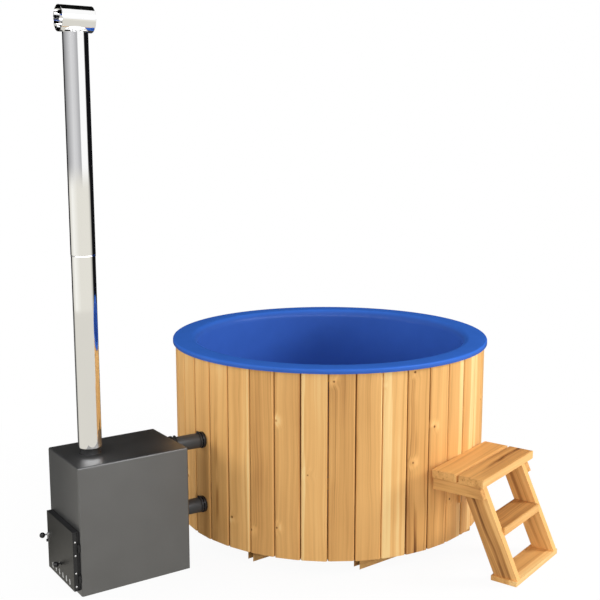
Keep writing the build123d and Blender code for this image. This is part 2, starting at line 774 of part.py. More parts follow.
bolt_x = front_x - sum(strap_depth) / 2
bolts = []
for z in hinge_levels:
    for side in (-1, 1):
        bolt_z = z + side * bolt_pair_half
        head_y = (strap_y[0] - bolt_head_h, strap_y[0])
        bolts.append(pin_along_y(bolt_x, bolt_z, bolt_r, head_y))
keep("hinge_bolts", *bolts)

# Air slider behind the door's front, its guides and its knob
slider_depth = door_inner - slide_gap - slider_t
slider_half = (air_slot_count - 1) / 2 * air_slot_pitch + air_slot_w / 2 + slider_margin
slider_y = (door_y - slider_half, door_y + slider_half)
slider_x = depth(slider_depth, slider_depth + slider_t)
slider = slab(slider_x, slider_y, (slider_bottom_z, slider_top_z))
for cutter in air_slots(slider_x, -slider_travel):
    slider -= cutter
stem_tip = door_depth + knob_reach
stem = rod(door_y, knob_z, knob_stem_r, depth(slider_depth, stem_tip))
slider -= rod(door_y, knob_z, knob_stem_r, slider_x)
keep("air_slider", slider)
knob = Pos(front_x - stem_tip, door_y, knob_z) * Rot(0, 90, 0) * Sphere(knob_r)
keep("slider_knob", knob + stem)

guide_y = (door_right_y + door_t, door_left_y - door_t)
lip_x = depth(slider_depth - slide_gap - guide_t, slider_depth - slide_gap)
web_x = depth(slider_depth - slide_gap - guide_t, door_inner)
low_z = slider_bottom_z - slide_gap
high_z = slider_top_z + slide_gap
guide_low = slab(web_x, guide_y, (door_bottom_z + door_t, low_z))
guide_low += slab(lip_x, guide_y, (low_z, low_z + guide_lip))
guide_high = slab(web_x, guide_y, (high_z, high_z + guide_web))
guide_high += slab(lip_x, guide_y, (high_z - guide_lip, high_z))
keep("slider_guides", guide_low, guide_high)

# Latch: a spindle through the door with a cam inside, a lever and a ball outside
lever_depth = door_depth + slide_gap
spindle_tip = lever_depth + latch_lever_t
spindle = rod(latch_y, latch_z, latch_spindle_r, depth(latch_cam_depth, spindle_tip + latch_nut_h))
cam = slab(
    depth(latch_cam_depth, latch_cam_depth + latch_cam_t),
    (latch_y - latch_cam_l, latch_y),
    (latch_z - latch_cam_w / 2, latch_z + latch_cam_w / 2),
)
spindle += cam + rod(latch_y, latch_z, latch_cam_w / 2, depth(latch_cam_depth, latch_cam_depth + latch_cam_t))
nut_turn = Pos(front_x - spindle_tip, latch_y, latch_z) * Rot(0, -90, 0)
nut = nut_turn * extrude(RegularPolygon(latch_nut_r, 6), latch_nut_h)
keep("latch_spindle", spindle)
keep("latch_nut", nut - rod(latch_y, latch_z, latch_spindle_r, depth(spindle_tip, spindle_tip + latch_nut_h)))

lever_top_z = latch_z + latch_lever_l
lever_x = depth(lever_depth, spindle_tip)
lever_y = (latch_y - latch_lever_w / 2, latch_y + latch_lever_w / 2)
latch_lever = slab(lever_x, lever_y, (latch_z, lever_top_z))
for z in (latch_z, lever_top_z):
    latch_lever += rod(latch_y, z, latch_lever_w / 2, lever_x)
latch_lever -= rod(latch_y, latch_z, latch_spindle_r, lever_x)
ball_depth = spindle_tip + latch_ball_reach
latch_lever += rod(latch_y, lever_top_z, latch_stem_r, depth(spindle_tip, ball_depth))
keep("latch_lever", latch_lever)
latch_ball = Pos(front_x - ball_depth, latch_y, lever_top_z) * Rot(0, 90, 0) * Sphere(latch_ball_r)
keep("latch_ball", latch_ball - rod(latch_y, lever_top_z, latch_stem_r, depth(spindle_tip, ball_depth)))

# Steps, drawn square to the tub's wall and then turned to their place beside it
step_place = Rot(0, 0, step_deg) * Pos(0, step_side, 0)
board_face_half_w = tub_r * math.tan(math.radians(board_pitch_deg / 2)) - board_gap / 2 - board_bevel_w
back_u = math.hypot(tub_r, board_face_half_w) + step_wall_gap
front_u = back_u + 2 * plank_w + plank_gap
foot_front_u = tub_r + foot_reach
under_z = platform_z - plank_t
lean = math.tan(math.radians(stringer_deg))
stringer_run = stringer_w / math.cos(math.radians(stringer_deg))
stringer_half = stringer_span / 2
inner_half = stringer_half - stringer_t


def stringer_front(z):
    """How far out the stringer's front edge lies at a height."""
    return foot_front_u - (z - foot_t) * lean


def leaning(z, u_back, y):
    """A board between two heights whose front end follows the stringers' slant."""
    low, high = z
    corners = ((u_back[0], low), (stringer_front(low), low), (stringer_front(high), high), (u_back[1], high))
    face = Plane.XZ * make_face(Polyline(*corners, close=True))
    return Pos(0, y[1], 0) * extrude(face, y[1] - y[0])


both_sides = ((-stringer_half, -inner_half), (inner_half, stringer_half))
stringer_back = (stringer_front(foot_t) - stringer_run, stringer_front(under_z) - stringer_run)
stringers = [leaning((foot_t, under_z), stringer_back, y) for y in both_sides]
keep("step_stringers", *[step_place * piece for piece in stringers])

outer_half = stringer_half + stringer_t
bearer_sides = ((-outer_half, -stringer_half), (stringer_half, outer_half))
bearers = [leaning((under_z - bearer_h, under_z), (back_u, back_u), y) for y in bearer_sides]
keep("step_bearers", *[step_place * piece for piece in bearers])

platform_y = (-platform_w / 2, platform_w / 2)
platform_span_z = (under_z, platform_z)
keep("step_plank_rear", step_place * slab((back_u, back_u + plank_w), platform_y, platform_span_z))
keep("step_plank_front", step_place * slab((front_u - plank_w, front_u), platform_y, platform_span_z))

tread_front_u = stringer_front(tread_z) + tread_nose
tread_under_z = tread_z - plank_t
tread_y = (-inner_half + seat_gap, inner_half - seat_gap)
tread = slab((tread_front_u - plank_w, tread_front_u), tread_y, (tread_under_z, tread_z))
keep("step_tread", step_place * tread)
cleat_u = (tread_front_u - cleat_back - cleat_l, tread_front_u - cleat_back)
cleats = []
for y in ((-inner_half, -inner_half + cleat_t), (inner_half - cleat_t, inner_half)):
    cleats.append(step_place * slab(cleat_u, y, (tread_under_z - cleat_h, tread_under_z)))
keep("step_cleats", *cleats)

foot = slab((foot_front_u - plank_w, foot_front_u), (-foot_w / 2, foot_w / 2), (0, foot_t))
keep("step_foot", step_place * foot)
stop_y = (wall_stop_shift - wall_stop_w / 2, wall_stop_shift + wall_stop_w / 2)
stop = slab((back_u, back_u + wall_stop_t), stop_y, (wall_stop_bottom_z, under_z))
keep("step_wall_stop", step_place * stop)
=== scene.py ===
"""The look of a round hot tub: oiled boards, blue gelcoat, a painted wood heater and a mirror flue.

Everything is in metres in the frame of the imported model: the tub stands on the ground at the origin,
the heater is on the -X side and the steps are on the -Y side.
"""
import json
import math
import random

import bmesh
import bpy
import numpy as np
from mathutils import Matrix, Vector


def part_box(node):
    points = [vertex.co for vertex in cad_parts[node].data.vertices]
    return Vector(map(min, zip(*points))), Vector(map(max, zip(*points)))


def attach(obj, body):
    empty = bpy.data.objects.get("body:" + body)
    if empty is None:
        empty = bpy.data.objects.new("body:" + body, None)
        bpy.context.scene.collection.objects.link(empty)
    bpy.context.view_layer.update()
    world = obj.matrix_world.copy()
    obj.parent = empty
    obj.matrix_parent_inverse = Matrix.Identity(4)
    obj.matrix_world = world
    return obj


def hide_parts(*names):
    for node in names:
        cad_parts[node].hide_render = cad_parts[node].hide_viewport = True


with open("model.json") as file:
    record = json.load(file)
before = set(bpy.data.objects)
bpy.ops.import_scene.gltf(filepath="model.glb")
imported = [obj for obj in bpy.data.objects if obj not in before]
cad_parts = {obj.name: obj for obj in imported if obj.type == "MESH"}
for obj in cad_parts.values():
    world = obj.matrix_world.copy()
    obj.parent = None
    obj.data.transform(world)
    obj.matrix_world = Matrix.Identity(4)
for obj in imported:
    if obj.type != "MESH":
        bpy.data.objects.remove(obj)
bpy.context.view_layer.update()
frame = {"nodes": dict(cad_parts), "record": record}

nodes = frame["nodes"]
random.seed(11)

# Bodies that pieces ride on
TUB = "tub_and_heater"
DOOR = "door"
SLIDER = "air_slider"
LATCH = "latch"
VALVE = "drain_valve"

# Camera
CAMERA_PLACE = (-3.3350, -4.6307, 2.2321)
CAMERA_TILT_DEG = 80.546
CAMERA_HEADING_DEG = -34.024
CAMERA_LENS = 59.2

# Cladding
BOARD_COUNT = 40
PIPE_BOARD = 20
BOARD_PITCH = math.tau / BOARD_COUNT
BOARD_FACE_R = 0.898
BOARD_T = 0.028
BOARD_GAP = 0.0034
BOARD_EDGE_W = 0.0125
BOARD_EDGE_D = 0.0095
BOARD_EDGE_TURN = math.radians(70)
BOARD_EDGE_STEPS = 5
# Painted shade: how much darker the tone is painted deep in the rolled grooves between boards
GROOVE_PAINTED_SHADE = 0.50
SECTORS = ("back_right", "back_left", "front_left", "front_right")

# Liner
RIM_LIP = 0.025
SHELL_T = 0.006
WALL_TOP_R = 0.772
WALL_FOOT_R = 0.748
BENCH_Z = 0.504
WELL_TOP_R = 0.430
WELL_FOOT_R = 0.405
WELL_Z = 0.094
LINER_ROUNDS = (0.010, 0.048, 0.060, 0.040, 0.060)
LINER_STEPS = 192

# Steps
STEP_TURN = math.radians(-71)
STEP_SIDE = -0.0464
STEP_PLACE = Matrix.Rotation(STEP_TURN, 4, "Z") @ Matrix.Translation((0, STEP_SIDE, 0))
STRINGER_LEAN = math.radians(24.5)
PLANK_EDGE = 0.010
PLANK_SHRINK = 0.002
# Painted highlight: how much paler the tone is on a plank's rounded edges than on its flat sides
PLANK_EDGE_PAINTED_HIGHLIGHT = 0.24
FLAT_AREA = 0.0004
FLAT_SHARE = 0.038
JOIST_PLACE = Matrix.Rotation(math.radians(4), 4, "Z")

ALONG = {
    "X": Matrix.Rotation(math.pi / 2, 4, "Y"),
    "Y": Matrix.Rotation(-math.pi / 2, 4, "X"),
    "Z": Matrix.Identity(4),
}


def feed(tree, slot, value):
    """Links a wire into a shader's slot, or sets the slot to a plain value."""
    if isinstance(value, Wire):
        tree.links.new(value.socket, slot)
    else:
        slot.default_value = value


class Wire:
    """A shader socket that takes part in plain arithmetic."""

    def __init__(self, tree, socket):
        self.tree = tree
        self.socket = socket

    def math(self, operation, *terms):
        node = self.tree.nodes.new("ShaderNodeMath")
        node.operation = operation
        for slot, term in zip(node.inputs, terms):
            feed(self.tree, slot, term)
        return Wire(self.tree, node.outputs[0])

    def __add__(self, other):
        return self.math("ADD", self, other)

    def __radd__(self, other):
        return self.math("ADD", other, self)

    def __sub__(self, other):
        return self.math("SUBTRACT", self, other)

    def __rsub__(self, other):
        return self.math("SUBTRACT", other, self)

    def __mul__(self, other):
        return self.math("MULTIPLY", self, other)

    def __rmul__(self, other):
        return self.math("MULTIPLY", other, self)

    def __truediv__(self, other):
        return self.math("DIVIDE", self, other)

    def __pow__(self, other):
        return self.math("POWER", self, other)

    def size(self):
        return self.math("ABSOLUTE", self)

    def sine(self):
        return self.math("SINE", self)

    def sign(self):
        return self.math("SIGN", self)

    def above(self, limit):
        return self.math("GREATER_THAN", self, limit)

    def most(self, other):
        return self.math("MAXIMUM", self, other)

    def least(self, other):
        return self.math("MINIMUM", self, other)

    def between(self, low, high):
        """0 at low and 1 at high, with a soft start and end."""
        node = self.tree.nodes.new("ShaderNodeMapRange")
        node.interpolation_type = "SMOOTHSTEP"
        feed(self.tree, node.inputs["Value"], self)
        feed(self.tree, node.inputs["From Min"], low)
        feed(self.tree, node.inputs["From Max"], high)
        return Wire(self.tree, node.outputs["Result"])


class Finish:
    """A material, with short names for the nodes that it is made of."""

    def __init__(self, name):
        self.material = bpy.data.materials.new(name)
        self.material.use_nodes = True
        self.tree = self.material.node_tree
        self.shader = self.tree.nodes["Principled BSDF"]

    def node(self, kind, settings=None, sockets=None, out=0):
        """A new node: its settings first, then the values or wires of its sockets."""
        node = self.tree.nodes.new("ShaderNode" + kind)
        for key, value in (settings or {}).items():
            if key == "stops":
                set_stops(node.color_ramp, value)
            else:
                setattr(node, key, value)
        for key, value in (sockets or {}).items():
            feed(self.tree, node.inputs[key], value)
        return Wire(self.tree, node.outputs[out])

    def mix(self, share, first, second):
        """One colour at share 0, the other at 1."""
        sockets = {"Factor": share, "A": first, "B": second}
        return self.blended({"data_type": "RGBA"}, sockets)

    def blended(self, settings, sockets):
        node = self.tree.nodes.new("ShaderNodeMix")
        for key, value in settings.items():
            setattr(node, key, value)
        slots = {"Factor": node.inputs[0], "A": node.inputs[6], "B": node.inputs[7]}
        for key, value in sockets.items():
            feed(self.tree, slots[key], value)
        return Wire(self.tree, node.outputs[2])

    def split(self, vector):
        """The three numbers of a vector."""
        node = self.tree.nodes.new("ShaderNodeSeparateXYZ")
        feed(self.tree, node.inputs[0], vector)
        return [Wire(self.tree, socket) for socket in node.outputs]

    def join(self, x, y, z):
        """A vector of three numbers."""
        return self.node("CombineXYZ", None, {"X": x, "Y": y, "Z": z})

    def place(self):
        """The three coordinates of the point in the frame."""
        return self.split(self.node("TexCoord", out="Object"))

    def noise(self, spot, detail=2.0, rough=0.5):
        """Smooth noise from 0 to 1, one bump wide per unit of the spot."""
        sockets = {"Vector": spot, "Scale": 1.0, "Detail": detail, "Roughness": rough}
        return self.node("TexNoise", None, sockets, "Fac")

    def grainy(self, scale, detail=2.0):
        """Even noise of one scale along all three axes, in bumps per metre."""
        x, y, z = self.place()
        return self.noise(self.join(x * scale, y * scale, z * scale), detail)

    def bump(self, height, depth, strength=1.0):
        """A normal from a height between 0 and 1, that deep in metres."""
        return self.node("Bump", None, {"Height": height, "Distance": depth, "Strength": strength}, "Normal")

    def wear(self, **looks):
        """Sets the shader's sockets, by names with _ for a space, and gives the material."""
        for key, value in looks.items():
            slot = self.shader.inputs[LOOKS[key]]
            feed(self.tree, slot, value)
        return self.material


LOOKS = {
    "colour": "Base Color",
    "roughness": "Roughness",
    "metallic": "Metallic",
    "coat": "Coat Weight",
    "coat_roughness": "Coat Roughness",
    "specular": "Specular IOR Level",
    "sheen": "Sheen Weight",
    "normal": "Normal",
}


def set_stops(ramp, stops):
    """Gives a colour ramp its stops, as (place, colour) pairs."""
    while len(ramp.elements) < len(stops):
        ramp.elements.new(1.0)
    for element, (place, colour) in zip(ramp.elements, stops):
        element.position = place
        element.color = (*colour, 1.0)


WOOD_STOPS = (
    (0.00, (1.00, 0.70, 0.31)),
    (0.28, (0.90, 0.51, 0.18)),
    (0.55, (0.73, 0.385, 0.125)),
    (0.78, (0.46, 0.21, 0.062)),
    (1.00, (0.16, 0.060, 0.016)),
)


def timber(name, stamped=True, knots=0.62, shade=0.4):
    """Oiled softwood: growth rings, drifting streaks, a pale sapwood side, dark heart and some knots."""
    f = Finish(name)
    if stamped:
        across, depth, along = f.split(f.node("Attribute", {"attribute_name": "grain"}, out="Vector"))
        # The tone attribute holds each point's tone with its painted shade and painted highlight already added
        tone, sap, heart = f.split(f.node("Attribute", {"attribute_name": "tone"}, out="Vector"))
    else:
        along, across, depth = f.place()
        tone, sap, heart = (shade, 1.0, 0.0)

    cells_per_m = 3.4
    seat = f.join(across, along, 0.0)
    knot_sockets = {"Vector": seat, "Scale": cells_per_m, "Randomness": 0.9}
    reach = f.node("TexVoronoi", {"voronoi_dimensions": "2D"}, knot_sockets, "Distance") / cells_per_m
    chance = f.split(f.node("TexVoronoi", {"voronoi_dimensions": "2D"}, knot_sockets, "Color"))[0]
    knotty = chance.above(knots)

    drift = f.noise(f.join(across * 3.0, depth * 3.0, along * 1.5), 3.0)
    ragged = reach + (drift - 0.5) * 0.020
    knot = (1.0 - ragged.between(0.002, 0.010)) * knotty
    collar = (1.0 - reach.between(0.006, 0.055)) * knotty
    torn = f.noise(f.join(across * 16.0 + along * 5.0, depth * 10.0, along * 11.0 - across * 9.0), 1.0)
    pale_halo = collar * torn.between(0.42, 0.60)

    bent = across + (drift - 0.5) * 0.060 + collar * 0.014
    rings = f.noise(f.join(bent * 130.0, depth * 90.0, along * 0.9), 2.0)
    streaks = f.noise(f.join(bent * 30.0, depth * 26.0, along * 0.45), 3.0, 0.62)
    lines = f.noise(f.join(bent * 75.0, depth * 60.0, along * 0.35), 1.0)
    patches = f.noise(f.join(across * 6.0, depth * 6.0, along * 2.2), 2.0)
    pores = f.noise(f.join(bent * 900.0, depth * 500.0, along * 18.0), 1.0)

    side = (sap.sign() * across - sap.size()) if stamped else across * 0.0 - 1.0
    sapwood = (side + (drift - 0.5) * 0.030).between(-0.004, 0.004)
    heart_line = (bent + 0.014).size()
    heart_mark = (1.0 - heart_line.between(0.003, 0.016)) * patches.between(0.40, 0.60) * heart
    value = tone + (streaks - 0.5) * 0.66 + (rings - 0.5) * 0.26 + (patches - 0.5) * 0.28
    value = value + lines.between(0.60, 0.72) * 0.14
    value = value - sapwood * 0.30 + heart_mark * 0.85 - pale_halo * 0.30 + knot * 0.62
    colour = f.node("ValToRGB", {"stops": WOOD_STOPS}, {"Fac": value}, "Color")
    relief = rings * 0.5 + pores * 0.3 + knot * 0.4
    return f.wear(
        colour=colour,
        roughness=0.46 + (pores - 0.5) * 0.20 + (streaks - 0.5) * 0.12,
        coat=patches * 0.05,
        coat_roughness=0.35,
        specular=0.22,
        normal=f.bump(relief, 0.00035),
    )


def gelcoat():
    """Glossy blue gelcoat with a slow waviness and a faint variation of depth, and painted light: the rim's flat top
    is a lighter blue than the wall.
    """
    f = Finish("blue_gelcoat")
    wave = f.grainy(5.0)
    x, y, z = f.place()
    painted_lit_rim_top = z.between(1.062, 1.0835)
    cloud = f.grainy(9.0, 3.0)
    wall = f.mix(cloud, (0.040, 0.120, 0.47, 1), (0.046, 0.136, 0.53, 1))
    # Painted light: the flat top of the rim gets a lighter, deeper blue than the wall, as if lit from above
    rim = f.mix(cloud, (0.038, 0.160, 0.66, 1), (0.044, 0.178, 0.73, 1))
    colour = f.mix(painted_lit_rim_top, wall, rim)
    return f.wear(
        colour=colour,
        roughness=0.20 + wave * 0.06,
        specular=0.14,
        normal=f.bump(wave, 0.003, 0.5),
    )


def paint(name, colour, lighter, rough=0.5, flake=0.0, grain=900.0):
    """Baked heat-resistant paint with a fine grain, handled patches and a little dust."""
    f = Finish(name)
    patches = f.grainy(7.0, 4.0)
    speckle = f.grainy(grain, 1.0)
    return f.wear(
        colour=f.mix(patches * 0.6 + speckle * 0.4, (*colour, 1), (*lighter, 1)),
        roughness=rough + (patches - 0.5) * 0.16 + (speckle - 0.5) * 0.10,
        metallic=flake,
        specular=0.32,
        normal=f.bump(speckle, 0.00012),
    )


def metal(name, colour, duller, rough, brushed=(400.0, 400.0, 12.0), relief=0.00004, streak=0.10):
    """Bare metal with fine drawn lines and a dull bloom in places."""
    f = Finish(name)
    x, y, z = f.place()
    lines = f.noise(f.join(x * brushed[0], y * brushed[1], z * brushed[2]), 2.0)
    bloom = f.grainy(16.0, 3.0)
    return f.wear(
        colour=f.mix(bloom, (*colour, 1), (*duller, 1)),
        metallic=1.0,
        roughness=rough + (lines - 0.5) * streak + (bloom - 0.5) * streak,
        normal=f.bump(lines, relief),
    )


def mirror():
    """Mirror-polished stainless tube with faint rolling marks along it."""
    f = Finish("mirror_stainless")
    x, y, z = f.place()
    rolled = f.noise(f.join(x * 26.0, y * 26.0, z * 1.6), 2.0)
    smear = f.noise(f.join(x * 9.0, y * 9.0, z * 5.0), 4.0)
    return f.wear(
        colour=f.mix(smear, (0.98, 0.98, 0.98, 1), (0.95, 0.95, 0.95, 1)),
        metallic=1.0,
        roughness=0.03 + smear * 0.04,
        normal=f.bump(rolled, 0.0006, 0.35),
    )


def moulded(name, colour, lighter, rough, grain=500.0, relief=0.00006):
    """Moulded plastic or rubber with a fine skin."""
    f = Finish(name)
    skin = f.grainy(grain, 1.0)
    bloom = f.grainy(24.0, 3.0)
    return f.wear(
        colour=f.mix(bloom, (*colour, 1), (*lighter, 1)),
        roughness=rough + (bloom - 0.5) * 0.14 + (skin - 0.5) * 0.06,
        specular=0.45,
        normal=f.bump(skin, relief),
    )


def cast(name, colour, lighter):
    """Rough cast iron with grey ash in its hollows."""
    f = Finish(name)
    lumps = f.grainy(160.0, 4.0)
    ash = f.grainy(14.0, 3.0)
    return f.wear(
        colour=f.mix(ash.between(0.4, 0.75), (*colour, 1), (*lighter, 1)),
        roughness=0.78 + (lumps - 0.5) * 0.2,
        specular=0.3,
        normal=f.bump(lumps, 0.0006),
    )


def woven(name, colour, lighter):
    """Heat-proof rope seal with crossing yarns."""
    f = Finish(name)
    x, y, z = f.place()
    yarn = ((y + z) * 1400.0).sine() * ((y - z) * 1400.0).sine() * 0.5 + 0.5
    return f.wear(
        colour=f.mix(yarn, (*colour, 1), (*lighter, 1)),
        roughness=0.9,
        sheen=0.2,
        normal=f.bump(yarn, 0.0006),
    )


# The fire door's front is a shade darker than the casing, and its slider is bright zinc sheet
DOOR_GREY = paint("door_grey", (0.036, 0.035, 0.033), (0.050, 0.049, 0.046), 0.42, 0.60)
SLIDER_ZINC = moulded("slider_zinc", (0.86, 0.86, 0.85), (0.78, 0.78, 0.77), 0.40)

MATERIALS = {
    "gelcoat": gelcoat(),
    "cladding_timber": timber("oiled_cladding"),
    "step_timber": timber("oiled_steps", knots=0.70),
    "frame_timber": timber("sawn_frame", stamped=False),
    "heater_paint": paint("heater_grey", (0.152, 0.152, 0.153), (0.188, 0.188, 0.189), 0.40, 0.82),
    "black_paint": paint("stove_black", (0.012, 0.012, 0.013), (0.024, 0.024, 0.025), 0.46),
    "boiler_steel": metal("boiler_sheet", (0.46, 0.45, 0.44), (0.30, 0.28, 0.26), 0.45),
    "cast_iron": cast("cast_iron", (0.060, 0.058, 0.056), (0.22, 0.21, 0.20)),
    "mirror_steel": mirror(),
    "bright_steel": metal("zinc_plated", (0.74, 0.74, 0.75), (0.58, 0.58, 0.60), 0.32),
    "hose_rubber": moulded("hose_rubber", (0.040, 0.043, 0.047), (0.060, 0.064, 0.070), 0.38),
    "black_plastic": moulded("black_plastic", (0.010, 0.010, 0.011), (0.018, 0.018, 0.020), 0.25),
    "grey_plastic": moulded("grey_pipe", (0.26, 0.27, 0.28), (0.33, 0.34, 0.35), 0.45),
    "valve_brass": metal("cast_brass", (0.72, 0.53, 0.25), (0.50, 0.36, 0.16), 0.34),
    "rope_seal": woven("rope_seal", (0.20, 0.19, 0.17), (0.42, 0.40, 0.36)),
    "insulation_board": moulded("mineral_board", (0.66, 0.62, 0.54), (0.78, 0.75, 0.68), 0.9, 300.0, 0.0004),
}


def piece(name, mesh, slot, body, *stands_for):
    """A mesh as a piece of the object: on its body, with its finish; the nodes that it stands for are hidden."""
    obj = bpy.data.objects.new(name, mesh)
    bpy.context.scene.collection.objects.link(obj)
    mesh.materials.append(MATERIALS[slot])
    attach(obj, body)
    if stands_for:
        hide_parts(*stands_for)
    return obj


def to_mesh(bm, name, sharp_deg=38.0):
    """The finished mesh, smooth but for its corners."""
    bmesh.ops.recalc_face_normals(bm, faces=bm.faces)
    limit = math.radians(sharp_deg)
    for face in bm.faces:
        face.smooth = True
    for edge in bm.edges:
        edge.smooth = edge.calc_face_angle(math.pi) < limit
    mesh = bpy.data.meshes.new(name)
    bm.to_mesh(mesh)
    bm.free()
    return mesh


def soften(bm, width, steps=3, corner_deg=30.0):
    """Rounds every edge that turns more than the given angle."""
    limit = math.radians(corner_deg)
    edges = [edge for edge in bm.edges if edge.calc_face_angle(0.0) > limit]
    bmesh.ops.bevel(bm, geom=edges, offset=width, segments=steps, profile=0.5, affect="EDGES", clamp_overlap=True)
    return bm


def prism(outline, low, high):
    """A solid with the given outline in XY, between two heights."""
    bm = bmesh.new()
    rings = [[bm.verts.new((x, y, z)) for x, y in outline] for z in (low, high)]
    count = len(outline)
    bm.faces.new(rings[0][::-1])
    bm.faces.new(rings[1])
    for i in range(count):
        j = (i + 1) % count
        bm.faces.new((rings[0][i], rings[0][j], rings[1][j], rings[1][i]))
    return bm


def block(low, high):
    """A box between two corners."""
    corners = [(low[0], low[1]), (high[0], low[1]), (high[0], high[1]), (low[0], high[1])]
    return prism(corners, low[2], high[2])


def turned(profile, centre=(0, 0, 0), along="Z", steps=96):
    """A closed profile of (radius, distance) points, turned about an axis through the centre."""
    bm = bmesh.new()
    rings = []
    for radius, distance in profile:
        if radius > 0:
            angles = [math.tau * k / steps for k in range(steps)]
            rings.append([bm.verts.new((radius * math.cos(a), radius * math.sin(a), distance)) for a in angles])
        else:
            rings.append([bm.verts.new((0, 0, distance))] * steps)
    for near, far in zip(rings, rings[1:] + rings[:1]):
        for k in range(steps):
            corners = (near[k], near[(k + 1) % steps], far[(k + 1) % steps], far[k])
            loop = [v for i, v in enumerate(corners) if v not in corners[:i]]
            if len(loop) > 2:
                bm.faces.new(loop)
    bm.transform(Matrix.Translation(centre) @ ALONG[along])
    return bm


def rod(radius, start, end, centre, along="Z", steps=64):
    """A plain cylinder between two distances along an axis through the centre."""
    return turned([(0, start), (radius, start), (radius, end), (0, end)], centre, along, steps)


def arc(centre, radius, start_deg, end_deg, steps=8):
    """Points of an arc about a centre, by angles in degrees."""
    angles = [math.radians(start_deg + (end_deg - start_deg) * i / steps) for i in range(steps + 1)]
    return [(centre[0] + radius * math.cos(a), centre[1] + radius * math.sin(a)) for a in angles]


def tube_profile(inner, outer, start, end, round_r):
    """The section of a tube whose four edges are rounded."""
    return (
        arc((outer - round_r, start + round_r), round_r, -90, 0, 4)
        + arc((outer - round_r, end - round_r), round_r, 0, 90, 4)
        + arc((inner + round_r, end - round_r), round_r, 90, 180, 4)
        + arc((inner + round_r, start + round_r), round_r, 180, 270, 4)
    )


def rounded(points, radii, steps=8):
    """A line through the points with its inner corners rounded to the radii."""
    line = [points[0]]
    for before, corner, after, radius in zip(points, points[1:], points[2:], radii):
        to_before = (Vector(before) - Vector(corner)).normalized()
        to_after = (Vector(after) - Vector(corner)).normalized()
        half = math.acos(max(-1.0, min(1.0, to_before.dot(to_after)))) / 2
        middle = Vector(corner) + (to_before + to_after).normalized() * (radius / math.sin(half))
        first = Vector(corner) + to_before * (radius / math.tan(half)) - middle
        last = Vector(corner) + to_after * (radius / math.tan(half)) - middle
        sweep = first.angle_signed(last)
        for i in range(steps + 1):
            spoke = first.copy()
            spoke.rotate(Matrix.Rotation(-sweep * i / steps, 2))
            line.append(tuple(middle + spoke))
    line.append(points[-1])
    return line


def inset(line, thickness):
    """A line's copy at one distance to its right-hand side."""
    moved = []
    for i, point in enumerate(line):
        before = Vector(line[max(i - 1, 0)])
        after = Vector(line[min(i + 1, len(line) - 1)])
        direction = (after - before).normalized()
        moved.append((point[0] + direction.y * thickness, point[1] - direction.x * thickness))
    return moved


def cut(obj, *cutters):
    """Takes the cutters' solids out of a piece's mesh."""
    for bm in cutters:
        bmesh.ops.recalc_face_normals(bm, faces=bm.faces)
        mesh = bpy.data.meshes.new("cutter")
        bm.to_mesh(mesh)
        bm.free()
        tool = bpy.data.objects.new("cutter", mesh)
        bpy.context.scene.collection.objects.link(tool)
        modifier = obj.modifiers.new("cut", "BOOLEAN")
        modifier.operation = "DIFFERENCE"
        modifier.solver = "EXACT"
        modifier.object = tool
        bpy.context.view_layer.update()
        graph = bpy.context.evaluated_depsgraph_get()
        result = bpy.data.meshes.new_from_object(obj.evaluated_get(graph), depsgraph=graph)
        obj.modifiers.remove(modifier)
        old = obj.data
        result.name = old.name
        obj.data = result
        bpy.data.meshes.remove(old)
        bpy.data.objects.remove(tool)
        bpy.data.meshes.remove(mesh)


def sharpen(obj, sharp_deg=32.0):
    """Marks the corners of a cut mesh again."""
    bm = bmesh.new()
    bm.from_mesh(obj.data)
    bmesh.ops.remove_doubles(bm, verts=bm.verts, dist=1e-6)
    limit = math.radians(sharp_deg)
    for face in bm.faces:
        face.smooth = True
    for edge in bm.edges:
        edge.smooth = edge.calc_face_angle(math.pi) < limit
    bm.to_mesh(obj.data)
    bm.free()


def stamp(mesh, to_grain, tone, shift):
    """Writes each point's place in its own plank (across, deep, along the grain) and the plank's tone, which may hold
    painted shade and painted highlight per point.
    """
    count = len(mesh.vertices)
    places = np.empty(count * 3)
    mesh.vertices.foreach_get("co", places)
    turn = np.array(to_grain)
    grain = places.reshape(-1, 3) @ turn[:3, :3].T + turn[:3, 3] + np.array(shift)
    for name, values in (("grain", grain), ("tone", np.array(np.broadcast_to(tone, (count, 3)), dtype=float))):
        mesh.attributes.new(name, "FLOAT_VECTOR", "POINT").data.foreach_set("vector", values.ravel())


# Camera first, then the object, then the studio


def set_camera():
    """The camera stands where the photograph was taken from."""
    data = bpy.data.cameras.new("camera")
    data.lens = CAMERA_LENS
    camera = bpy.data.objects.new("camera", data)
    camera.location = CAMERA_PLACE
    camera.rotation_euler = (math.radians(CAMERA_TILT_DEG), 0, math.radians(CAMERA_HEADING_DEG))
    bpy.context.scene.collection.objects.link(camera)
    bpy.context.scene.camera = camera


# Each board's tone (0 pale, 1 dark), the side and start of its sapwood, how much dark heart shows at its
# foot, and how much painted shade darkens its foot against its top (below 0, the foot is painted lighter)
BOARD_TONES = {
    18: (0.28, 0.090, 0.0, 0.10),
    19: (0.30, 0.090, 0.0, 0.12),
    20: (0.34, 0.090, 0.0, 0.16),
    21: (0.28, 0.090, 1.0, 0.30),
    22: (0.34, 0.056, 0.0, 0.06),
    23: (0.58, 0.060, 0.0, 0.00),
    24: (0.44, 0.090, 0.0, 0.00),
    25: (0.26, -0.048, 0.0, 0.02),
    26: (0.56, 0.062, 0.0, -0.04),
    27: (0.42, 0.062, 0.0, 0.00),
    28: (0.30, -0.020, 0.0, -0.10),
    29: (0.54, 0.090, 0.5, 0.06),
    30: (0.38, 0.090, 0.0, 0.10),
    31: (0.42, 0.022, 0.0, 0.06),
    32: (0.32, 0.010, 0.0, 0.16),
    33: (0.34, -0.030, 0.0, 0.14),
    34: (0.40, 0.040, 0.0, 0.10),
}


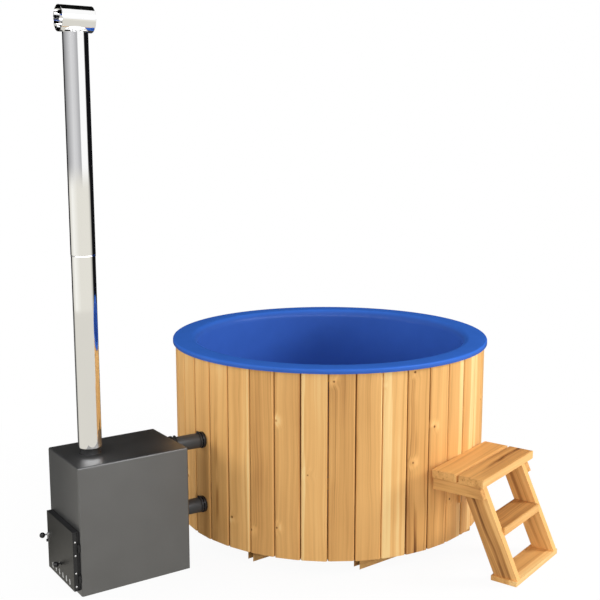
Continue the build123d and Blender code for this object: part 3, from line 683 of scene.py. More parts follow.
def board_outline(face_shift):
    """The board's section: x outward, y across. Its two outer edges roll over towards the joints."""
    slope = math.tan(BOARD_PITCH / 2)
    face = BOARD_FACE_R + face_shift
    half = BOARD_FACE_R * slope - BOARD_GAP / 2
    back = BOARD_FACE_R - BOARD_T
    roll = []
    for i in range(BOARD_EDGE_STEPS + 1):
        turn = BOARD_EDGE_TURN * i / BOARD_EDGE_STEPS
        out = BOARD_EDGE_W * math.sin(turn) / math.sin(BOARD_EDGE_TURN)
        drop = BOARD_EDGE_D * (1 - math.cos(turn)) / (1 - math.cos(BOARD_EDGE_TURN))
        lean = drop * slope
        roll.append((face - drop, half - BOARD_EDGE_W + out - lean * i / BOARD_EDGE_STEPS))
    far = [(back, back * slope - BOARD_GAP / 2)]
    upper = roll + far
    lower = [(x, -y) for x, y in upper[::-1]]
    return lower + upper


def make_cladding():
    """Forty upright boards round the tub."""
    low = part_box("cladding_front_left")[0][2]
    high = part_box("cladding_front_left")[1][2]
    per_sector = BOARD_COUNT // len(SECTORS)
    for i in range(BOARD_COUNT):
        # A board that is not listed gets a random tone and sapwood side, no heart mark, and a little painted shade at
        # its foot
        shade = (random.uniform(0.28, 0.62), random.choice((0.09, 0.04, -0.04, 0.02)), 0.0, 0.05)
        tone, sap, heart, darker = BOARD_TONES.get(i, shade)
        foot = low + random.uniform(0.0, 0.0025)
        bm = prism(board_outline(random.uniform(-0.0006, 0.0004)), foot, high - 0.0002)
        bm.transform(Matrix.Rotation((i + 0.5) * BOARD_PITCH, 4, "Z"))
        mesh = to_mesh(bm, f"board_{i:02d}", 25.0)
        to_board = Matrix.Rotation(-(i + 0.5) * BOARD_PITCH, 4, "Z")
        to_grain = Matrix(((0, 1, 0, 0), (1, 0, 0, 0), (0, 0, 1, 0), (0, 0, 0, 1))) @ to_board
        shift = (0, random.uniform(-0.5, 0.5), i * 7.3)
        board = piece(mesh.name, mesh, "cladding_timber", TUB, "cladding_" + SECTORS[i // per_sector])
        if i == PIPE_BOARD:
            cut(board, *(rod(PIPE_R + 0.0003, -0.95, -0.80, pipe_centre(pipe), "X") for pipe in ("hose_upper", "hose_lower")))
            sharpen(board, 25.0)
        tones = []
        for vert in board.data.vertices:
            # Painted shade: each board's tone darkens towards its foot by its own share; the heart mark also grows
            # towards the foot
            down = (high - vert.co.z) / (high - low)
            # Painted shade in the grooves: the deeper a point lies in a board's rolled edge, the darker its tone
            groove = min(1.0, max(0.0, (BOARD_FACE_R - (to_board @ vert.co).x) / BOARD_EDGE_D))
            tones.append((tone + darker * down + GROOVE_PAINTED_SHADE * groove**2, sap, heart * down))
        stamp(board.data, to_grain, tones, shift)


def make_liner():
    """The gelcoat shell: lip, flat rim, wall, bench and footwell, turned as one moulding."""
    rim_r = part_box("liner")[1][0]
    rim_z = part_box("liner")[1][2]
    corners = [
        (rim_r, rim_z - RIM_LIP),
        (rim_r, rim_z),
        (WALL_TOP_R, rim_z),
        (WALL_FOOT_R, BENCH_Z),
        (WELL_TOP_R, BENCH_Z),
        (WELL_FOOT_R, WELL_Z),
        (0, WELL_Z),
    ]
    face = rounded(corners, LINER_ROUNDS, 10)
    under = inset(face, -SHELL_T)
    under[-1] = (0, under[-1][1])
    mesh = to_mesh(turned(face + under[::-1], steps=LINER_STEPS), "gelcoat_shell", 50.0)
    shell = piece("gelcoat_shell", mesh, "gelcoat", TUB, "liner")
    holes = []
    for node in ("hose_upper", "hose_lower"):
        low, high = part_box(node)
        centre = (0, (low[1] + high[1]) / 2, (low[2] + high[2]) / 2)
        holes.append(rod(0.0315, -0.95, -0.20, centre, "X"))
    low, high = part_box("drain_body")
    holes.append(rod(0.025, 0, 0.2, ((low[0] + high[0]) / 2, (low[1] + high[1]) / 2, 0)))
    cut(shell, *holes)
    sharpen(shell, 50.0)
    return shell


def local_points(node, place):
    """A node's points in the frame of the steps, or of another place."""
    points = np.array([v.co for v in nodes[node].data.vertices])
    back = np.array(place.inverted())
    return points @ back[:3, :3].T + back[:3, 3]


def grain_along(axis, lean=0.0):
    """The turn that brings an axis of a plank onto the grain's own, for a plank that leans about Y."""
    turns = {
        "X": Matrix(((0, 1, 0, 0), (0, 0, 1, 0), (1, 0, 0, 0), (0, 0, 0, 1))),
        "Y": Matrix(((1, 0, 0, 0), (0, 0, 1, 0), (0, 1, 0, 0), (0, 0, 0, 1))),
        "Z": Matrix(((1, 0, 0, 0), (0, 1, 0, 0), (0, 0, 1, 0), (0, 0, 0, 1))),
    }
    return turns[axis] @ Matrix.Rotation(-lean, 4, "Y")


def is_flat(mesh, face):
    """Whether a face is one of a plank's own flat sides, not a narrow strip of its rounded edges."""
    corners = [mesh.vertices[i].co for i in face.vertices]
    longest = max((a - b).length for a, b in zip(corners, corners[1:] + corners[:1]))
    return face.area > FLAT_AREA and face.area / longest**2 > FLAT_SHARE


def make_plank(name, points, grain, tone, stands_for, edge=PLANK_EDGE):
    """A plank whose ends may be cut at a slant: its solid is taken from the limits of the given points."""
    low_z, high_z = points[:, 2].min(), points[:, 2].max()
    bottom = points[np.abs(points[:, 2] - low_z) < 1e-4]
    top = points[np.abs(points[:, 2] - high_z) < 1e-4]
    near, far = points[:, 1].min(), points[:, 1].max()
    outline = [
        (bottom[:, 0].min(), low_z),
        (bottom[:, 0].max(), low_z),
        (top[:, 0].max(), high_z),
        (top[:, 0].min(), high_z),
    ]
    bm = prism(outline, near, far)
    bm.transform(Matrix(((1, 0, 0, 0), (0, 0, 1, 0), (0, 1, 0, 0), (0, 0, 0, 1))))
    soften(bm, edge, 3)
    mesh = to_mesh(bm, name)
    middle = points.mean(axis=0)
    turned_middle = np.array(grain)[:3, :3] @ middle
    shift = (-turned_middle[0], -turned_middle[1] + random.uniform(0.1, 0.5), random.uniform(0, 90))
    # Painted highlight: points on the rounded edges, away from the flat sides, get a paler tone
    flat = {index for face in mesh.polygons if is_flat(mesh, face) for index in face.vertices}
    tones = [(tone[0] - (0 if i in flat else PLANK_EDGE_PAINTED_HIGHLIGHT), *tone[1:]) for i in range(len(mesh.vertices))]
    stamp(mesh, grain, tones, shift)
    mesh.transform(STEP_PLACE)
    return piece(name, mesh, "step_timber", TUB, stands_for)


def make_steps():
    """Two platform planks, the tread, the bottom board, and what carries them."""
    along_y = grain_along("Y")
    rear = local_points("step_plank_rear", STEP_PLACE)
    front = local_points("step_plank_front", STEP_PLACE)
    rear[:, 0] = np.minimum(rear[:, 0], rear[:, 0].max() - PLANK_SHRINK)
    front[:, 0] = np.maximum(front[:, 0], front[:, 0].min() + PLANK_SHRINK)
    make_plank("plank_rear", rear, along_y, (0.54, 0.055, 0), "step_plank_rear")
    make_plank("plank_front", front, along_y, (0.60, 0.06, 0.42), "step_plank_front")
    make_plank("tread", local_points("step_tread", STEP_PLACE), along_y, (0.78, 0.06, 0.42), "step_tread")
    make_plank("bottom_board", local_points("step_foot", STEP_PLACE), along_y, (0.54, 0.03, 0), "step_foot", 0.005)
    wall_stop = local_points("step_wall_stop", STEP_PLACE)
    make_plank("wall_stop", wall_stop, grain_along("Z"), (0.50, 0.09, 0), "step_wall_stop", 0.003)
    for node, name, grain, edge in (
        ("step_stringers", "side_board", grain_along("Z", -STRINGER_LEAN), 0.007),
        ("step_bearers", "bearer", grain_along("X"), 0.007),
        ("step_cleats", "cleat", grain_along("X"), 0.002),
    ):
        points = local_points(node, STEP_PLACE)
        for side, half in (("near", points[points[:, 1] < 0]), ("far", points[points[:, 1] > 0])):
            tone = (random.uniform(0.52, 0.62), 0.03, 0.3)
            make_plank(f"{name}_{side}", half, grain, tone, node, edge)


def make_joists():
    """Five sawn joists under the tub."""
    points = local_points("joists", JOIST_PLACE)
    rows = sorted({round(float(y), 3) for y in points[:, 1]})
    for k, (near, far) in enumerate(zip(rows[::2], rows[1::2])):
        own = points[(points[:, 1] > near - 0.001) & (points[:, 1] < far + 0.001)]
        bm = soften(block(own.min(axis=0), own.max(axis=0)), 0.0015, 2)
        mesh = to_mesh(bm, f"joist_{k}")
        shift = (random.uniform(0, 1), random.uniform(0.1, 0.4), 40 + 3 * k)
        stamp(mesh, grain_along("X"), (0.55, 0.09, 0), shift)
        mesh.transform(JOIST_PLACE)
        piece(mesh.name, mesh, "step_timber", TUB, "joists")


def pipe_centre(node):
    """The centre line of a pipe along X: (0, y, z)."""
    low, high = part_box(node)
    return (0, (low[1] + high[1]) / 2, (low[2] + high[2]) / 2)


HOSE_R = 0.0405
HOSE_BORE_R = 0.0318
CLAMP_T = 0.0012
CLAMP_W = 0.010
CLAMP_INSET = 0.006


def make_hose(name):
    """A short rubber hose with soft end faces and a worm-drive band at each end."""
    low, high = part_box("hose_" + name)
    centre = pipe_centre("hose_" + name)
    profile = tube_profile(HOSE_BORE_R, HOSE_R, low[0], high[0], 0.0025)
    piece("rubber_" + name, to_mesh(turned(profile, centre, "X"), "rubber_" + name, 50.0), "hose_rubber", TUB, "hose_" + name)
    for k, start in enumerate((low[0] + CLAMP_INSET, high[0] - CLAMP_INSET - CLAMP_W)):
        label = f"band_{name}_{k}"
        raised = CLAMP_T
        section = [
            (HOSE_R, start),
            (HOSE_R + raised, start),
            (HOSE_R + raised * 0.5, start + 0.0012),
            (HOSE_R + raised * 0.5, start + CLAMP_W - 0.0012),
            (HOSE_R + raised, start + CLAMP_W),
            (HOSE_R, start + CLAMP_W),
        ]
        bm = turned(section, centre, "X")
        middle = start + CLAMP_W / 2
        top = centre[2] + HOSE_R + 0.005
        screw = turned(screw_profile(0.022, 0.0048), (middle, centre[1], top), "Y", 24)
        housing = soften(block((start, centre[1] - 0.007, top - 0.0045), (start + CLAMP_W, centre[1] + 0.007, top + 0.0045)), 0.001, 2)
        for extra in (screw, housing):
            merge(bm, extra)
        piece(label, to_mesh(bm, label), "black_paint", TUB, "hose_clamps")


def screw_profile(length, head_r):
    """A clamp's screw: a long shank with a hexagon-like head at one end."""
    half = length / 2
    shank = head_r * 0.55
    return [
        (0, -half),
        (head_r, -half),
        (head_r, -half + 0.004),
        (shank, -half + 0.0045),
        (shank, half),
        (0, half),
    ]


def merge(bm, other):
    """Adds another solid's faces to a mesh in the making."""
    mesh = bpy.data.meshes.new("part")
    other.to_mesh(mesh)
    other.free()
    bm.from_mesh(mesh)
    bpy.data.meshes.remove(mesh)


WALL_RING_R = 0.0445
PIPE_R = 0.0315
PIPE_BORE_R = 0.027
STUB_FLANGE_R = 0.050
STUB_FLANGE_T = 0.010


def make_wall_rings():
    """Cover rings where the pipes leave the boards."""
    low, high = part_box("wall_rings")
    for name in ("upper", "lower"):
        centre = pipe_centre("hose_" + name)
        back = low[0] + 0.016
        profile = (
            [(PIPE_R, back), (WALL_RING_R, back)]
            + arc((WALL_RING_R - 0.003, low[0] + 0.003), 0.003, 0, -90, 5)
            + arc((PIPE_R + 0.002, low[0] + 0.002), 0.002, -90, -180, 4)
        )
        label = "cover_ring_" + name
        piece(label, to_mesh(turned(profile, centre, "X"), label, 50.0), "black_plastic", TUB, "wall_rings")


def make_stubs():
    """Welded pipe stubs on the heater, each with its flange."""
    low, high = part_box("heater_stubs")
    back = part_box("heater_casing")[1][0]
    for name in ("upper", "lower"):
        centre = pipe_centre("hose_" + name)
        profile = (
            [(PIPE_BORE_R, low[0]), (PIPE_R, low[0]), (PIPE_R, back)]
            + [(STUB_FLANGE_R - 0.001, back), (STUB_FLANGE_R, back + 0.001)]
            + arc((STUB_FLANGE_R - 0.002, back + STUB_FLANGE_T - 0.002), 0.002, 0, 90, 4)
            + [(PIPE_R + 0.004, back + STUB_FLANGE_T), (PIPE_R, back + STUB_FLANGE_T + 0.003)]
            + [(PIPE_R, high[0] - 0.001), (PIPE_R - 0.001, high[0]), (PIPE_BORE_R, high[0])]
        )
        label = "stub_" + name
        piece(label, to_mesh(turned(profile, centre, "X"), label), "black_paint", TUB, "heater_stubs")


CASING_T = 0.004
CASING_EDGE = 0.009


def make_casing():
    """The heater's folded sheet casing: soft corners, an open front for the fire door, holes for the pipes."""
    low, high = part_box("heater_casing")
    bm = block(low, high)
    upright = [e for e in bm.edges if abs(e.verts[0].co.z - e.verts[1].co.z) > 0.1]
    top = [e for e in bm.edges if min(v.co.z for v in e.verts) > high[2] - 1e-4]
    bmesh.ops.bevel(bm, geom=upright + top, offset=CASING_EDGE, segments=6, profile=0.5, affect="EDGES")
    casing = piece("casing_sheet", to_mesh(bm, "casing_sheet", 60.0), "heater_paint", TUB, "heater_casing")
    inner = block(
        (low[0] + CASING_T, low[1] + CASING_T, low[2] - 0.01),
        (high[0] - CASING_T, high[1] - CASING_T, high[2] - CASING_T),
    )
    frame_low, frame_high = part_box("door_seal")
    throat = block(
        (low[0] - 0.01, frame_low[1] + THROAT_IN, frame_low[2] + THROAT_IN),
        (low[0] + 0.02, frame_high[1] - THROAT_IN, frame_high[2] - THROAT_IN),
    )
    flue_x, flue_y = flue_centre()
    flue_hole = rod(NECK_R, high[2] - 0.02, high[2] + 0.01, (flue_x, flue_y, 0))
    holes = [rod(PIPE_R, high[0] - 0.02, high[0] + 0.01, pipe_centre("hose_" + n), "X") for n in ("upper", "lower")]
    cut(casing, inner, throat, flue_hole, *holes)
    sharpen(casing, 32.0)
    return casing


THROAT_IN = 0.013
NECK_R = 0.050
NECK_BORE_R = 0.047
FLUE_R = 0.0592
FLUE_T = 0.001
SLEEVE_R = 0.0595
SLEEVE_OUT_R = 0.0607


def flue_centre():
    """Where the flue's axis stands."""
    low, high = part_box("flue_lower")
    return ((low[0] + high[0]) / 2, (low[1] + high[1]) / 2)


def make_flue():
    """Black neck, two mirror sections that slide over one another, and the open-ended cap."""
    x, y = flue_centre()
    centre = (x, y, 0)
    neck_low, neck_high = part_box("flue_neck")
    low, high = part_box("flue_lower")
    casing_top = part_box("heater_casing")[1][2]
    shoulder = low[2] - 0.003
    neck = (
        [(NECK_BORE_R, neck_low[2]), (NECK_R, neck_low[2]), (NECK_R, casing_top)]
        + [(NECK_R + 0.004, casing_top), (NECK_R + 0.001, casing_top + 0.003), (NECK_R, casing_top + 0.005)]
        + [(NECK_R, shoulder), (FLUE_R - 0.0012, shoulder), (FLUE_R - 0.0005, shoulder + 0.0007)]
        + [(FLUE_R - 0.0005, low[2] - 0.0004), (FLUE_R - 0.0013, low[2])]
        + [(FLUE_R - 0.0013, neck_high[2]), (NECK_BORE_R, neck_high[2])]
    )
    piece("flue_collar", to_mesh(turned(neck, centre), "flue_collar"), "black_paint", TUB, "flue_neck")

    foot = [(FLUE_R - FLUE_T, low[2]), (FLUE_R - 0.0002, low[2])]
    lower = foot + [(FLUE_R, low[2] + 0.0006), (FLUE_R, high[2]), (FLUE_R - FLUE_T, high[2])]
    mesh = to_mesh(turned(lower, centre, steps=160), "flue_section_lower", 10.0)
    piece(mesh.name, mesh, "mirror_steel", TUB, "flue_lower")

    low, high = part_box("flue_upper")
    foot = low[2]
    hem = [(SLEEVE_R, foot), (SLEEVE_OUT_R - 0.0004, foot), (SLEEVE_OUT_R, foot + 0.0006)]
    groove = [(SLEEVE_OUT_R, foot + 0.002), (SLEEVE_OUT_R - 0.0009, foot + 0.005), (SLEEVE_OUT_R, foot + 0.008)]
    upper = hem + groove + [(SLEEVE_OUT_R, high[2]), (SLEEVE_R, high[2])]
    mesh = to_mesh(turned(upper, centre, steps=160), "flue_section_upper", 10.0)
    piece(mesh.name, mesh, "mirror_steel", TUB, "flue_upper")
    make_cap(x, y, high[2])


CAP_T = 0.0012
CAP_NECK_R = 0.034


def make_cap(x, y, foot_z):
    """A short level tube, open at both ends, on a closed leg with a narrow neck."""
    low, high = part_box("flue_cap")
    radius = (high[1] - low[1]) / 2
    axis_z = high[2] - radius
    inner = radius - 0.0006 - CAP_T
    wall = radius - 0.0006
    lip = 0.0009
    profile = (
        arc((radius - lip, low[0] + lip), lip, -160, 60, 8)
        + arc((radius - lip, high[0] - lip), lip, -60, 160, 8)
        + [(inner, high[0] - 0.004), (inner, low[0] + 0.004)]
    )
    level = piece("cap_tube", to_mesh(turned(profile, (0, y, axis_z), "X", 128), "cap_tube"), "mirror_steel", TUB, "flue_cap")
    cut(level, rod(CAP_NECK_R - CAP_T * 1.6, axis_z - radius - 0.01, axis_z, (x, y, 0)))
    sharpen(level)

    spigot = SLEEVE_R - 0.0003
    bore = spigot - CAP_T
    top = axis_z - radius + 0.001
    leg = [
        (bore, low[2]),
        (spigot, low[2]),
        (spigot, foot_z),
        (SLEEVE_OUT_R, foot_z),
        (SLEEVE_OUT_R, top - 0.0012),
        (SLEEVE_OUT_R - 0.0012, top),
        (CAP_NECK_R, top),
        (CAP_NECK_R, axis_z),
        (CAP_NECK_R - CAP_T, axis_z),
        (CAP_NECK_R - CAP_T, top - CAP_T),
        (bore, top - CAP_T),
    ]
    bm = turned(leg, (0, 0, 0), "Z", 160)
    for vert in bm.verts:
        if vert.co.z > axis_z - 1e-5:
            vert.co.z = axis_z - math.sqrt(wall**2 - vert.co.y**2) + 0.0004
    bm.transform(Matrix.Translation((x, y, 0)))
    piece("cap_leg", to_mesh(bm, "cap_leg", 10.0), "mirror_steel", TUB, "flue_cap")


def ball_profile(radius, neck_r, steps=14):
    """Half a ball's outline with a flat where its stem enters, from the flat to the far pole."""
    start = math.degrees(math.asin(neck_r / radius))
    points = [(neck_r, -radius * math.cos(math.radians(start)))]
    for i in range(1, steps):
        angle = math.radians(start + (180 - start) * i / steps)
        points.append((radius * math.sin(angle), -radius * math.cos(angle)))
    return [(0, points[0][1])] + points + [(0, radius)]


DOOR_T = 0.003
DOOR_EDGE = 0.0070
AIR_SLOTS = 6
AIR_SLOT_W = 0.012
AIR_SLOT_H = 0.030
AIR_SLOT_MARGIN = 0.036
AIR_SLOT_RISE = 0.030
KNOB_RISE = 0.082
KNOB_STEM_R = 0.0043
LATCH_HOLE_R = 0.00506


def slot_outline(width, height, steps=8):
    """An upright slot with round ends, in the plane across a door: (across, up)."""
    half = (height - width) / 2
    top = arc((0, half), width / 2, 0, 180, steps)
    bottom = arc((0, -half), width / 2, 180, 360, steps)
    return top + bottom


def slot_cutter(outline, y, z, x_low, x_high):
    """A cutter through a door's sheet, from an outline across it."""
    bm = prism(outline, x_low, x_high)
    bm.transform(Matrix(((0, 0, 1, 0), (1, 0, 0, y), (0, 1, 0, z), (0, 0, 0, 1))))
    return bm


def make_door():
    """The fire door's pressed pan with its air slots and latch hole, the slider's knob and the hinge strap's bolt
    heads.
    """
    low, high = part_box("door_pan")
    bm = soften(block(low, high), DOOR_EDGE, 4)
    pan = piece("door_sheet", to_mesh(bm, "door_sheet", 60.0), "heater_paint", DOOR, "door_pan")
    centre_y = (low[1] + high[1]) / 2
    inside = block(
        (low[0] + DOOR_T, low[1] + DOOR_T, low[2] + DOOR_T),
        (high[0] + 0.01, high[1] - DOOR_T, high[2] - DOOR_T),
    )
    hinge_side = block(
        (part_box("hinge_strap")[0][0] + 0.0185, low[1] - 0.01, low[2] + DOOR_T),
        (high[0] + 0.01, low[1] + 0.01, high[2] - DOOR_T),
    )
    cutters = [inside, hinge_side]
    pitch = (high[1] - low[1] - 2 * AIR_SLOT_MARGIN) / AIR_SLOTS
    outline = slot_outline(AIR_SLOT_W, AIR_SLOT_H)
    for k in range(AIR_SLOTS):
        y = centre_y + (k - (AIR_SLOTS - 1) / 2) * pitch
        cutters.append(slot_cutter(outline, y, low[2] + AIR_SLOT_RISE, low[0] - 0.01, low[0] + 0.02))
    run = [(across + (pitch / 2 if across > 0 else 0), up) for across, up in arc((0, 0), KNOB_STEM_R, -90, 270, 24)]
    cutters.append(slot_cutter(run, centre_y, low[2] + KNOB_RISE, low[0] - 0.01, low[0] + 0.02))
    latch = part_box("latch_spindle")
    latch_y = latch[1][1] - 0.0055
    latch_z = (latch[0][2] + latch[1][2]) / 2
    cutters.append(rod(LATCH_HOLE_R, low[0] - 0.01, low[0] + 0.02, (0, latch_y, latch_z), "X"))
    cut(pan, *cutters)
    sharpen(pan)
    pan.data.materials[0] = DOOR_GREY
    pan.data.materials.append(MATERIALS["black_paint"])
    pan.data.materials.append(SLIDER_ZINC)
    slots_low, slots_high = low[2] + AIR_SLOT_RISE - AIR_SLOT_H / 2, low[2] + AIR_SLOT_RISE + AIR_SLOT_H / 2
    for face in pan.data.polygons:
        x, y, z = face.center
        in_slot = slots_low - 0.001 < z < slots_high + 0.001 and abs(y - centre_y) < (high[1] - low[1]) / 2 - 0.012
        cut_edge = in_slot and x < low[0] + DOOR_T + 0.001 and abs(face.normal.x) < 0.5
        face.material_index = 2 if cut_edge else int(face.normal.x > -0.93)

    knob_low, knob_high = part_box("slider_knob")
    knob_r = (knob_high[2] - knob_low[2]) / 2
    knob_z = (knob_high[2] + knob_low[2]) / 2
    knob_y = (knob_high[1] + knob_low[1]) / 2
    ball = ball_profile(knob_r, 0.0075, 16)
    bm = turned([(r, -h) for r, h in ball], (knob_low[0] + knob_r, knob_y, knob_z), "X", 48)
    stem_start = knob_low[0] + knob_r * 1.7
    merge(bm, rod(0.004, stem_start, knob_high[0], (0, knob_y, knob_z), "X", 32))
    collar = [(0.004, low[0] - 0.0045), (0.0085, low[0] - 0.0045), (0.0085, low[0] - 0.0006), (0.004, low[0] - 0.0006)]
    merge(bm, turned(collar, (0, knob_y, knob_z), "X", 32))
    piece("air_knob", to_mesh(bm, "air_knob"), "black_plastic", SLIDER, "slider_knob")

    bolts = local_points("hinge_bolts", Matrix.Identity(4))
    levels = []
    for z in sorted(bolts[:, 2]):
        if not levels or z - levels[-1][-1] > 0.02:
            levels.append([])
        levels[-1].append(z)
    head_low, head_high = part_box("hinge_bolts")
    head_r = (head_high[0] - head_low[0]) / 2
    head_x = (head_high[0] + head_low[0]) / 2
    for k, level in enumerate(levels):
        z = (min(level) + max(level)) / 2
        height = head_high[1] - head_low[1]
        dome = [(0, 0), (head_r, 0), (head_r, -height * 0.30)]
        dome += [(head_r * math.cos(a), -height * (0.30 + 0.70 * math.sin(a))) for a in (0.35, 0.7, 1.05, 1.3)]
        dome += [(0, -height)]
        bm = turned(dome, (head_x, head_high[1], z), "Y", 32)
        piece(f"bolt_head_{k}", to_mesh(bm, f"bolt_head_{k}", 60.0), "bright_steel", DOOR, "hinge_bolts")


def make_latch():
    """The latch's ball, on the lever that turns it."""
    low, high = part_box("latch_ball")
    radius = (high[2] - low[2]) / 2
    centre = (low[0] + radius, (high[1] + low[1]) / 2, (high[2] + low[2]) / 2)
    bm = turned([(r, -h) for r, h in ball_profile(radius, 0.0075, 16)], centre, "X", 48)
    piece("latch_knob", to_mesh(bm, "latch_knob"), "black_plastic", LATCH, "latch_ball")


FINISHES = {
    "air_slider": SLIDER_ZINC,
    "hinge_pins": MATERIALS["black_paint"],
}


def dress_nodes():
    """Gives each node that stays in view the finish of its slot."""
    slots = {part["node"]: part["material_slot"] for part in frame["record"]["subparts"]}
    for name, obj in nodes.items():
        obj.data.materials.clear()
        obj.data.materials.append(FINISHES.get(name, MATERIALS[slots[name]]))


FLOOR_HALF = 40.0
SKY_STRENGTH = 0.55
SURROUND_R = 8.0
SURROUND_HIGH = 7.0
BLACK = (0.006, 0.006, 0.007)
WHITE = (1.0, 1.0, 1.0)
CREAM = (0.78, 0.76, 0.69)
SURROUND_STOPS = (
    (0.000, BLACK),
    (0.155, BLACK),
    (0.200, (0.26, 0.26, 0.265)),
    (0.290, (0.44, 0.44, 0.45)),
    (0.410, (0.68, 0.68, 0.69)),
    (0.480, (0.62, 0.62, 0.63)),
    (0.575, (0.40, 0.40, 0.41)),
    (0.590, WHITE),
    (0.745, WHITE),
    (0.765, BLACK),
    (1.000, BLACK),
)
FLOOR_STOPS = (
    (0.00, (0.05, 0.05, 0.05)),
    (0.17, (0.10, 0.10, 0.095)),
    (0.22, (0.70, 0.68, 0.62)),
    (0.78, (0.70, 0.68, 0.62)),
    (0.86, (0.10, 0.10, 0.095)),
    (1.00, (0.05, 0.05, 0.05)),
)
FOOT_STOPS = (
    (0.000, BLACK),
    (0.165, BLACK),
    (0.195, (0.70, 0.68, 0.62)),
    (0.300, (0.94, 0.93, 0.88)),
    (0.450, CREAM),
    (0.720, CREAM),
    (0.770, (0.50, 0.49, 0.45)),
    (0.800, BLACK),
    (1.000, BLACK),
)


def set_studio():
    """A white floor and sky, one soft lamp from the right, and a toned surround that only shines in the metal."""
    scene = bpy.context.scene
    scene.view_settings.view_transform = "Standard"
    world = bpy.data.worlds.new("studio")
    scene.world = world
    world.use_nodes = True
    tree = world.node_tree
    seen = tree.nodes.new("ShaderNodeLightPath")
    camera = Wire(tree, seen.outputs["Is Camera Ray"])
    glossy = Wire(tree, seen.outputs["Is Glossy Ray"])
    through = Wire(tree, seen.outputs["Is Transmission Ray"])
    shown = camera.most(glossy).most(through)
    background = tree.nodes["Background"]
    background.inputs["Color"].default_value = (1, 1, 1, 1)
    feed(tree, background.inputs["Strength"], SKY_STRENGTH + shown * (1.0 - SKY_STRENGTH))

    lamp("key", (4.8, -3.4, 3.0), (0, 0, 0.6), 1.8, 240.0)
    lamp("fill", (-2.6, -5.4, 1.7), (-0.2, 0, 0.6), 3.0, 118.0)
    lamp("left", (-4.6, 2.6, 2.4), (-0.8, 0.2, 0.7), 2.0, 95.0)
    make_floor()
    make_surround()
    make_flag()


def glow(f, share, colour, strength=1.0):
    """Blends a material's shader with a plain glow, by a share from 0 to 1."""
    shine = f.tree.nodes.new("ShaderNodeEmission")
    feed(f.tree, shine.inputs["Color"], colour)
    feed(f.tree, shine.inputs["Strength"], strength)
    both = f.tree.nodes.new("ShaderNodeMixShader")
    feed(f.tree, both.inputs[0], share)
    f.tree.links.new(f.shader.outputs[0], both.inputs[1])
    f.tree.links.new(shine.outputs[0], both.inputs[2])
    f.tree.links.new(both.outputs[0], f.tree.nodes["Material Output"].inputs["Surface"])


def staged(name, mesh, material, only_in_metal=False):
    """A part of the studio, not of the object. It may show in nothing but reflections."""
    obj = bpy.data.objects.new(name, mesh)
    mesh.materials.append(material)
    bpy.context.scene.collection.objects.link(obj)
    if only_in_metal:
        obj.visible_camera = False
        obj.visible_diffuse = False
        obj.visible_shadow = False
        obj.visible_transmission = False
    return obj


def turn_about_flue(f):
    """The direction of a point from the flue, from 0 to 1: 0.5 is towards the camera, 0 and 1 are behind."""
    x, y = flue_centre()
    across, deep, up = f.place()
    sine, cosine = math.sin(math.radians(CAMERA_HEADING_DEG)), math.cos(math.radians(CAMERA_HEADING_DEG))
    right = (across - x) * cosine + (deep - y) * sine
    ahead = (deep - y) * cosine - (across - x) * sine
    return right.math("ARCTAN2", right, 0.0 - ahead) * (1 / math.tau) + 0.5, up


def make_floor():
    """White to the camera, with the object's soft shadow near it; cream in the metal; darker as a bounce."""
    f = Finish("studio_floor")
    seen = f.tree.nodes.new("ShaderNodeLightPath")
    camera = Wire(f.tree, seen.outputs["Is Camera Ray"])
    glossy = Wire(f.tree, seen.outputs["Is Glossy Ray"])
    x, y, z = f.place()
    away = (x * x + y * y) ** 0.5
    share = camera * (0.94 + 0.06 * away.between(1.4, 3.0))
    colour = f.mix(camera, (0.42, 0.42, 0.41, 1), (1, 1, 1, 1))
    f.wear(colour=colour, roughness=0.95, specular=0.0)
    turn, up = turn_about_flue(f)
    cream = f.node("ValToRGB", {"stops": FLOOR_STOPS}, {"Fac": turn}, "Color")
    glow(f, share.most(glossy), f.mix(glossy, (1, 1, 1, 1), cream))
    mesh = to_mesh(block((-FLOOR_HALF, -FLOOR_HALF, -0.02), (FLOOR_HALF, FLOOR_HALF, -0.0005)), "floor")
    staged("floor", mesh, f.material)


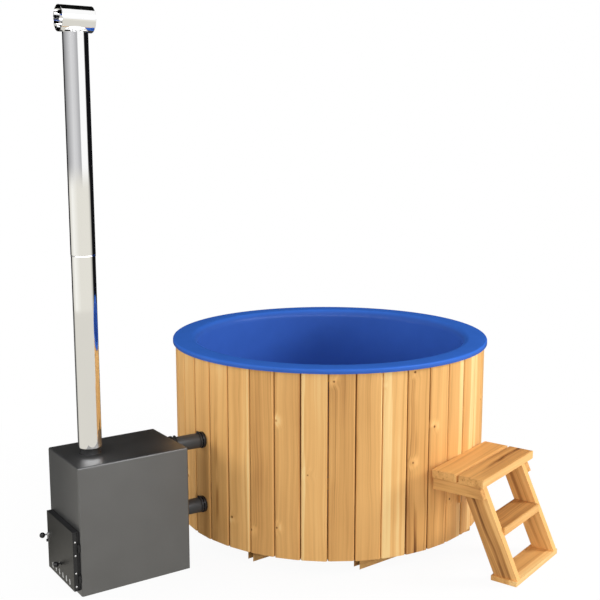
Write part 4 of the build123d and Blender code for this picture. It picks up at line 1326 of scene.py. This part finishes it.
def make_surround():
    """An upright round screen about the flue, with a dark roof over its far half."""
    x, y = flue_centre()
    f = Finish("surround")
    turn, up = turn_about_flue(f)
    upper = f.node("ValToRGB", {"stops": SURROUND_STOPS}, {"Fac": turn}, "Color")
    lower = f.node("ValToRGB", {"stops": FOOT_STOPS}, {"Fac": turn}, "Color")
    f.wear(colour=(0, 0, 0, 1), specular=0.0)
    overhead = up.between(3.9, 4.3) * turn.between(0.30, 0.36) * (1.0 - turn.between(0.78, 0.82))
    colour = f.mix(overhead, f.mix(up.between(1.55, 1.90), lower, upper), (1, 1, 1, 1))
    glow(f, 1.0, colour, overhead * 4.0 + 1.0)
    angles = [math.tau * k / 96 for k in range(96)]
    bm = bmesh.new()
    rings = []
    for z in (0.0, SURROUND_HIGH):
        rings.append([bm.verts.new((x + SURROUND_R * math.cos(a), y + SURROUND_R * math.sin(a), z)) for a in angles])
    for k in range(96):
        j = (k + 1) % 96
        bm.faces.new((rings[0][k], rings[0][j], rings[1][j], rings[1][k]))
    staged("surround", to_mesh(bm, "surround"), f.material, only_in_metal=True)

    f = Finish("dark_roof")
    f.wear(colour=(0.01, 0.01, 0.01, 1), specular=0.0)
    bm = block((-SURROUND_R, 0.35, 0), (SURROUND_R, SURROUND_R, 0.02))
    turn_to_camera = Matrix.Rotation(math.radians(CAMERA_HEADING_DEG), 4, "Z")
    bm.transform(Matrix.Translation((x, y, SURROUND_HIGH)) @ turn_to_camera)
    staged("dark_roof", to_mesh(bm, "dark_roof"), f.material, only_in_metal=True)


def make_flag():
    """A dark card high over the heater, which keeps its top from the sky."""
    x, y = flue_centre()
    f = Finish("flag")
    f.wear(colour=(0.02, 0.02, 0.02, 1), specular=0.0)
    bm = block((x - 0.5, y - 0.7, 3.1), (x + 0.7, y + 0.7, 3.12))
    flag = staged("flag", to_mesh(bm, "flag"), f.material)
    flag.visible_camera = False
    flag.visible_glossy = False


def lamp(name, place, aim, size, power):
    """A square soft lamp at a place, turned to a point."""
    data = bpy.data.lights.new(name, "AREA")
    data.shape = "SQUARE"
    data.size = size
    data.energy = power
    obj = bpy.data.objects.new(name, data)
    obj.location = place
    obj.rotation_euler = (Vector(aim) - Vector(place)).to_track_quat("-Z", "Y").to_euler()
    obj.visible_glossy = False
    bpy.context.scene.collection.objects.link(obj)


set_camera()
dress_nodes()
make_cladding()
make_liner()
make_joists()
make_steps()
make_hose("upper")
make_hose("lower")
make_wall_rings()
make_stubs()
make_casing()
make_flue()
make_door()
make_latch()
set_studio()
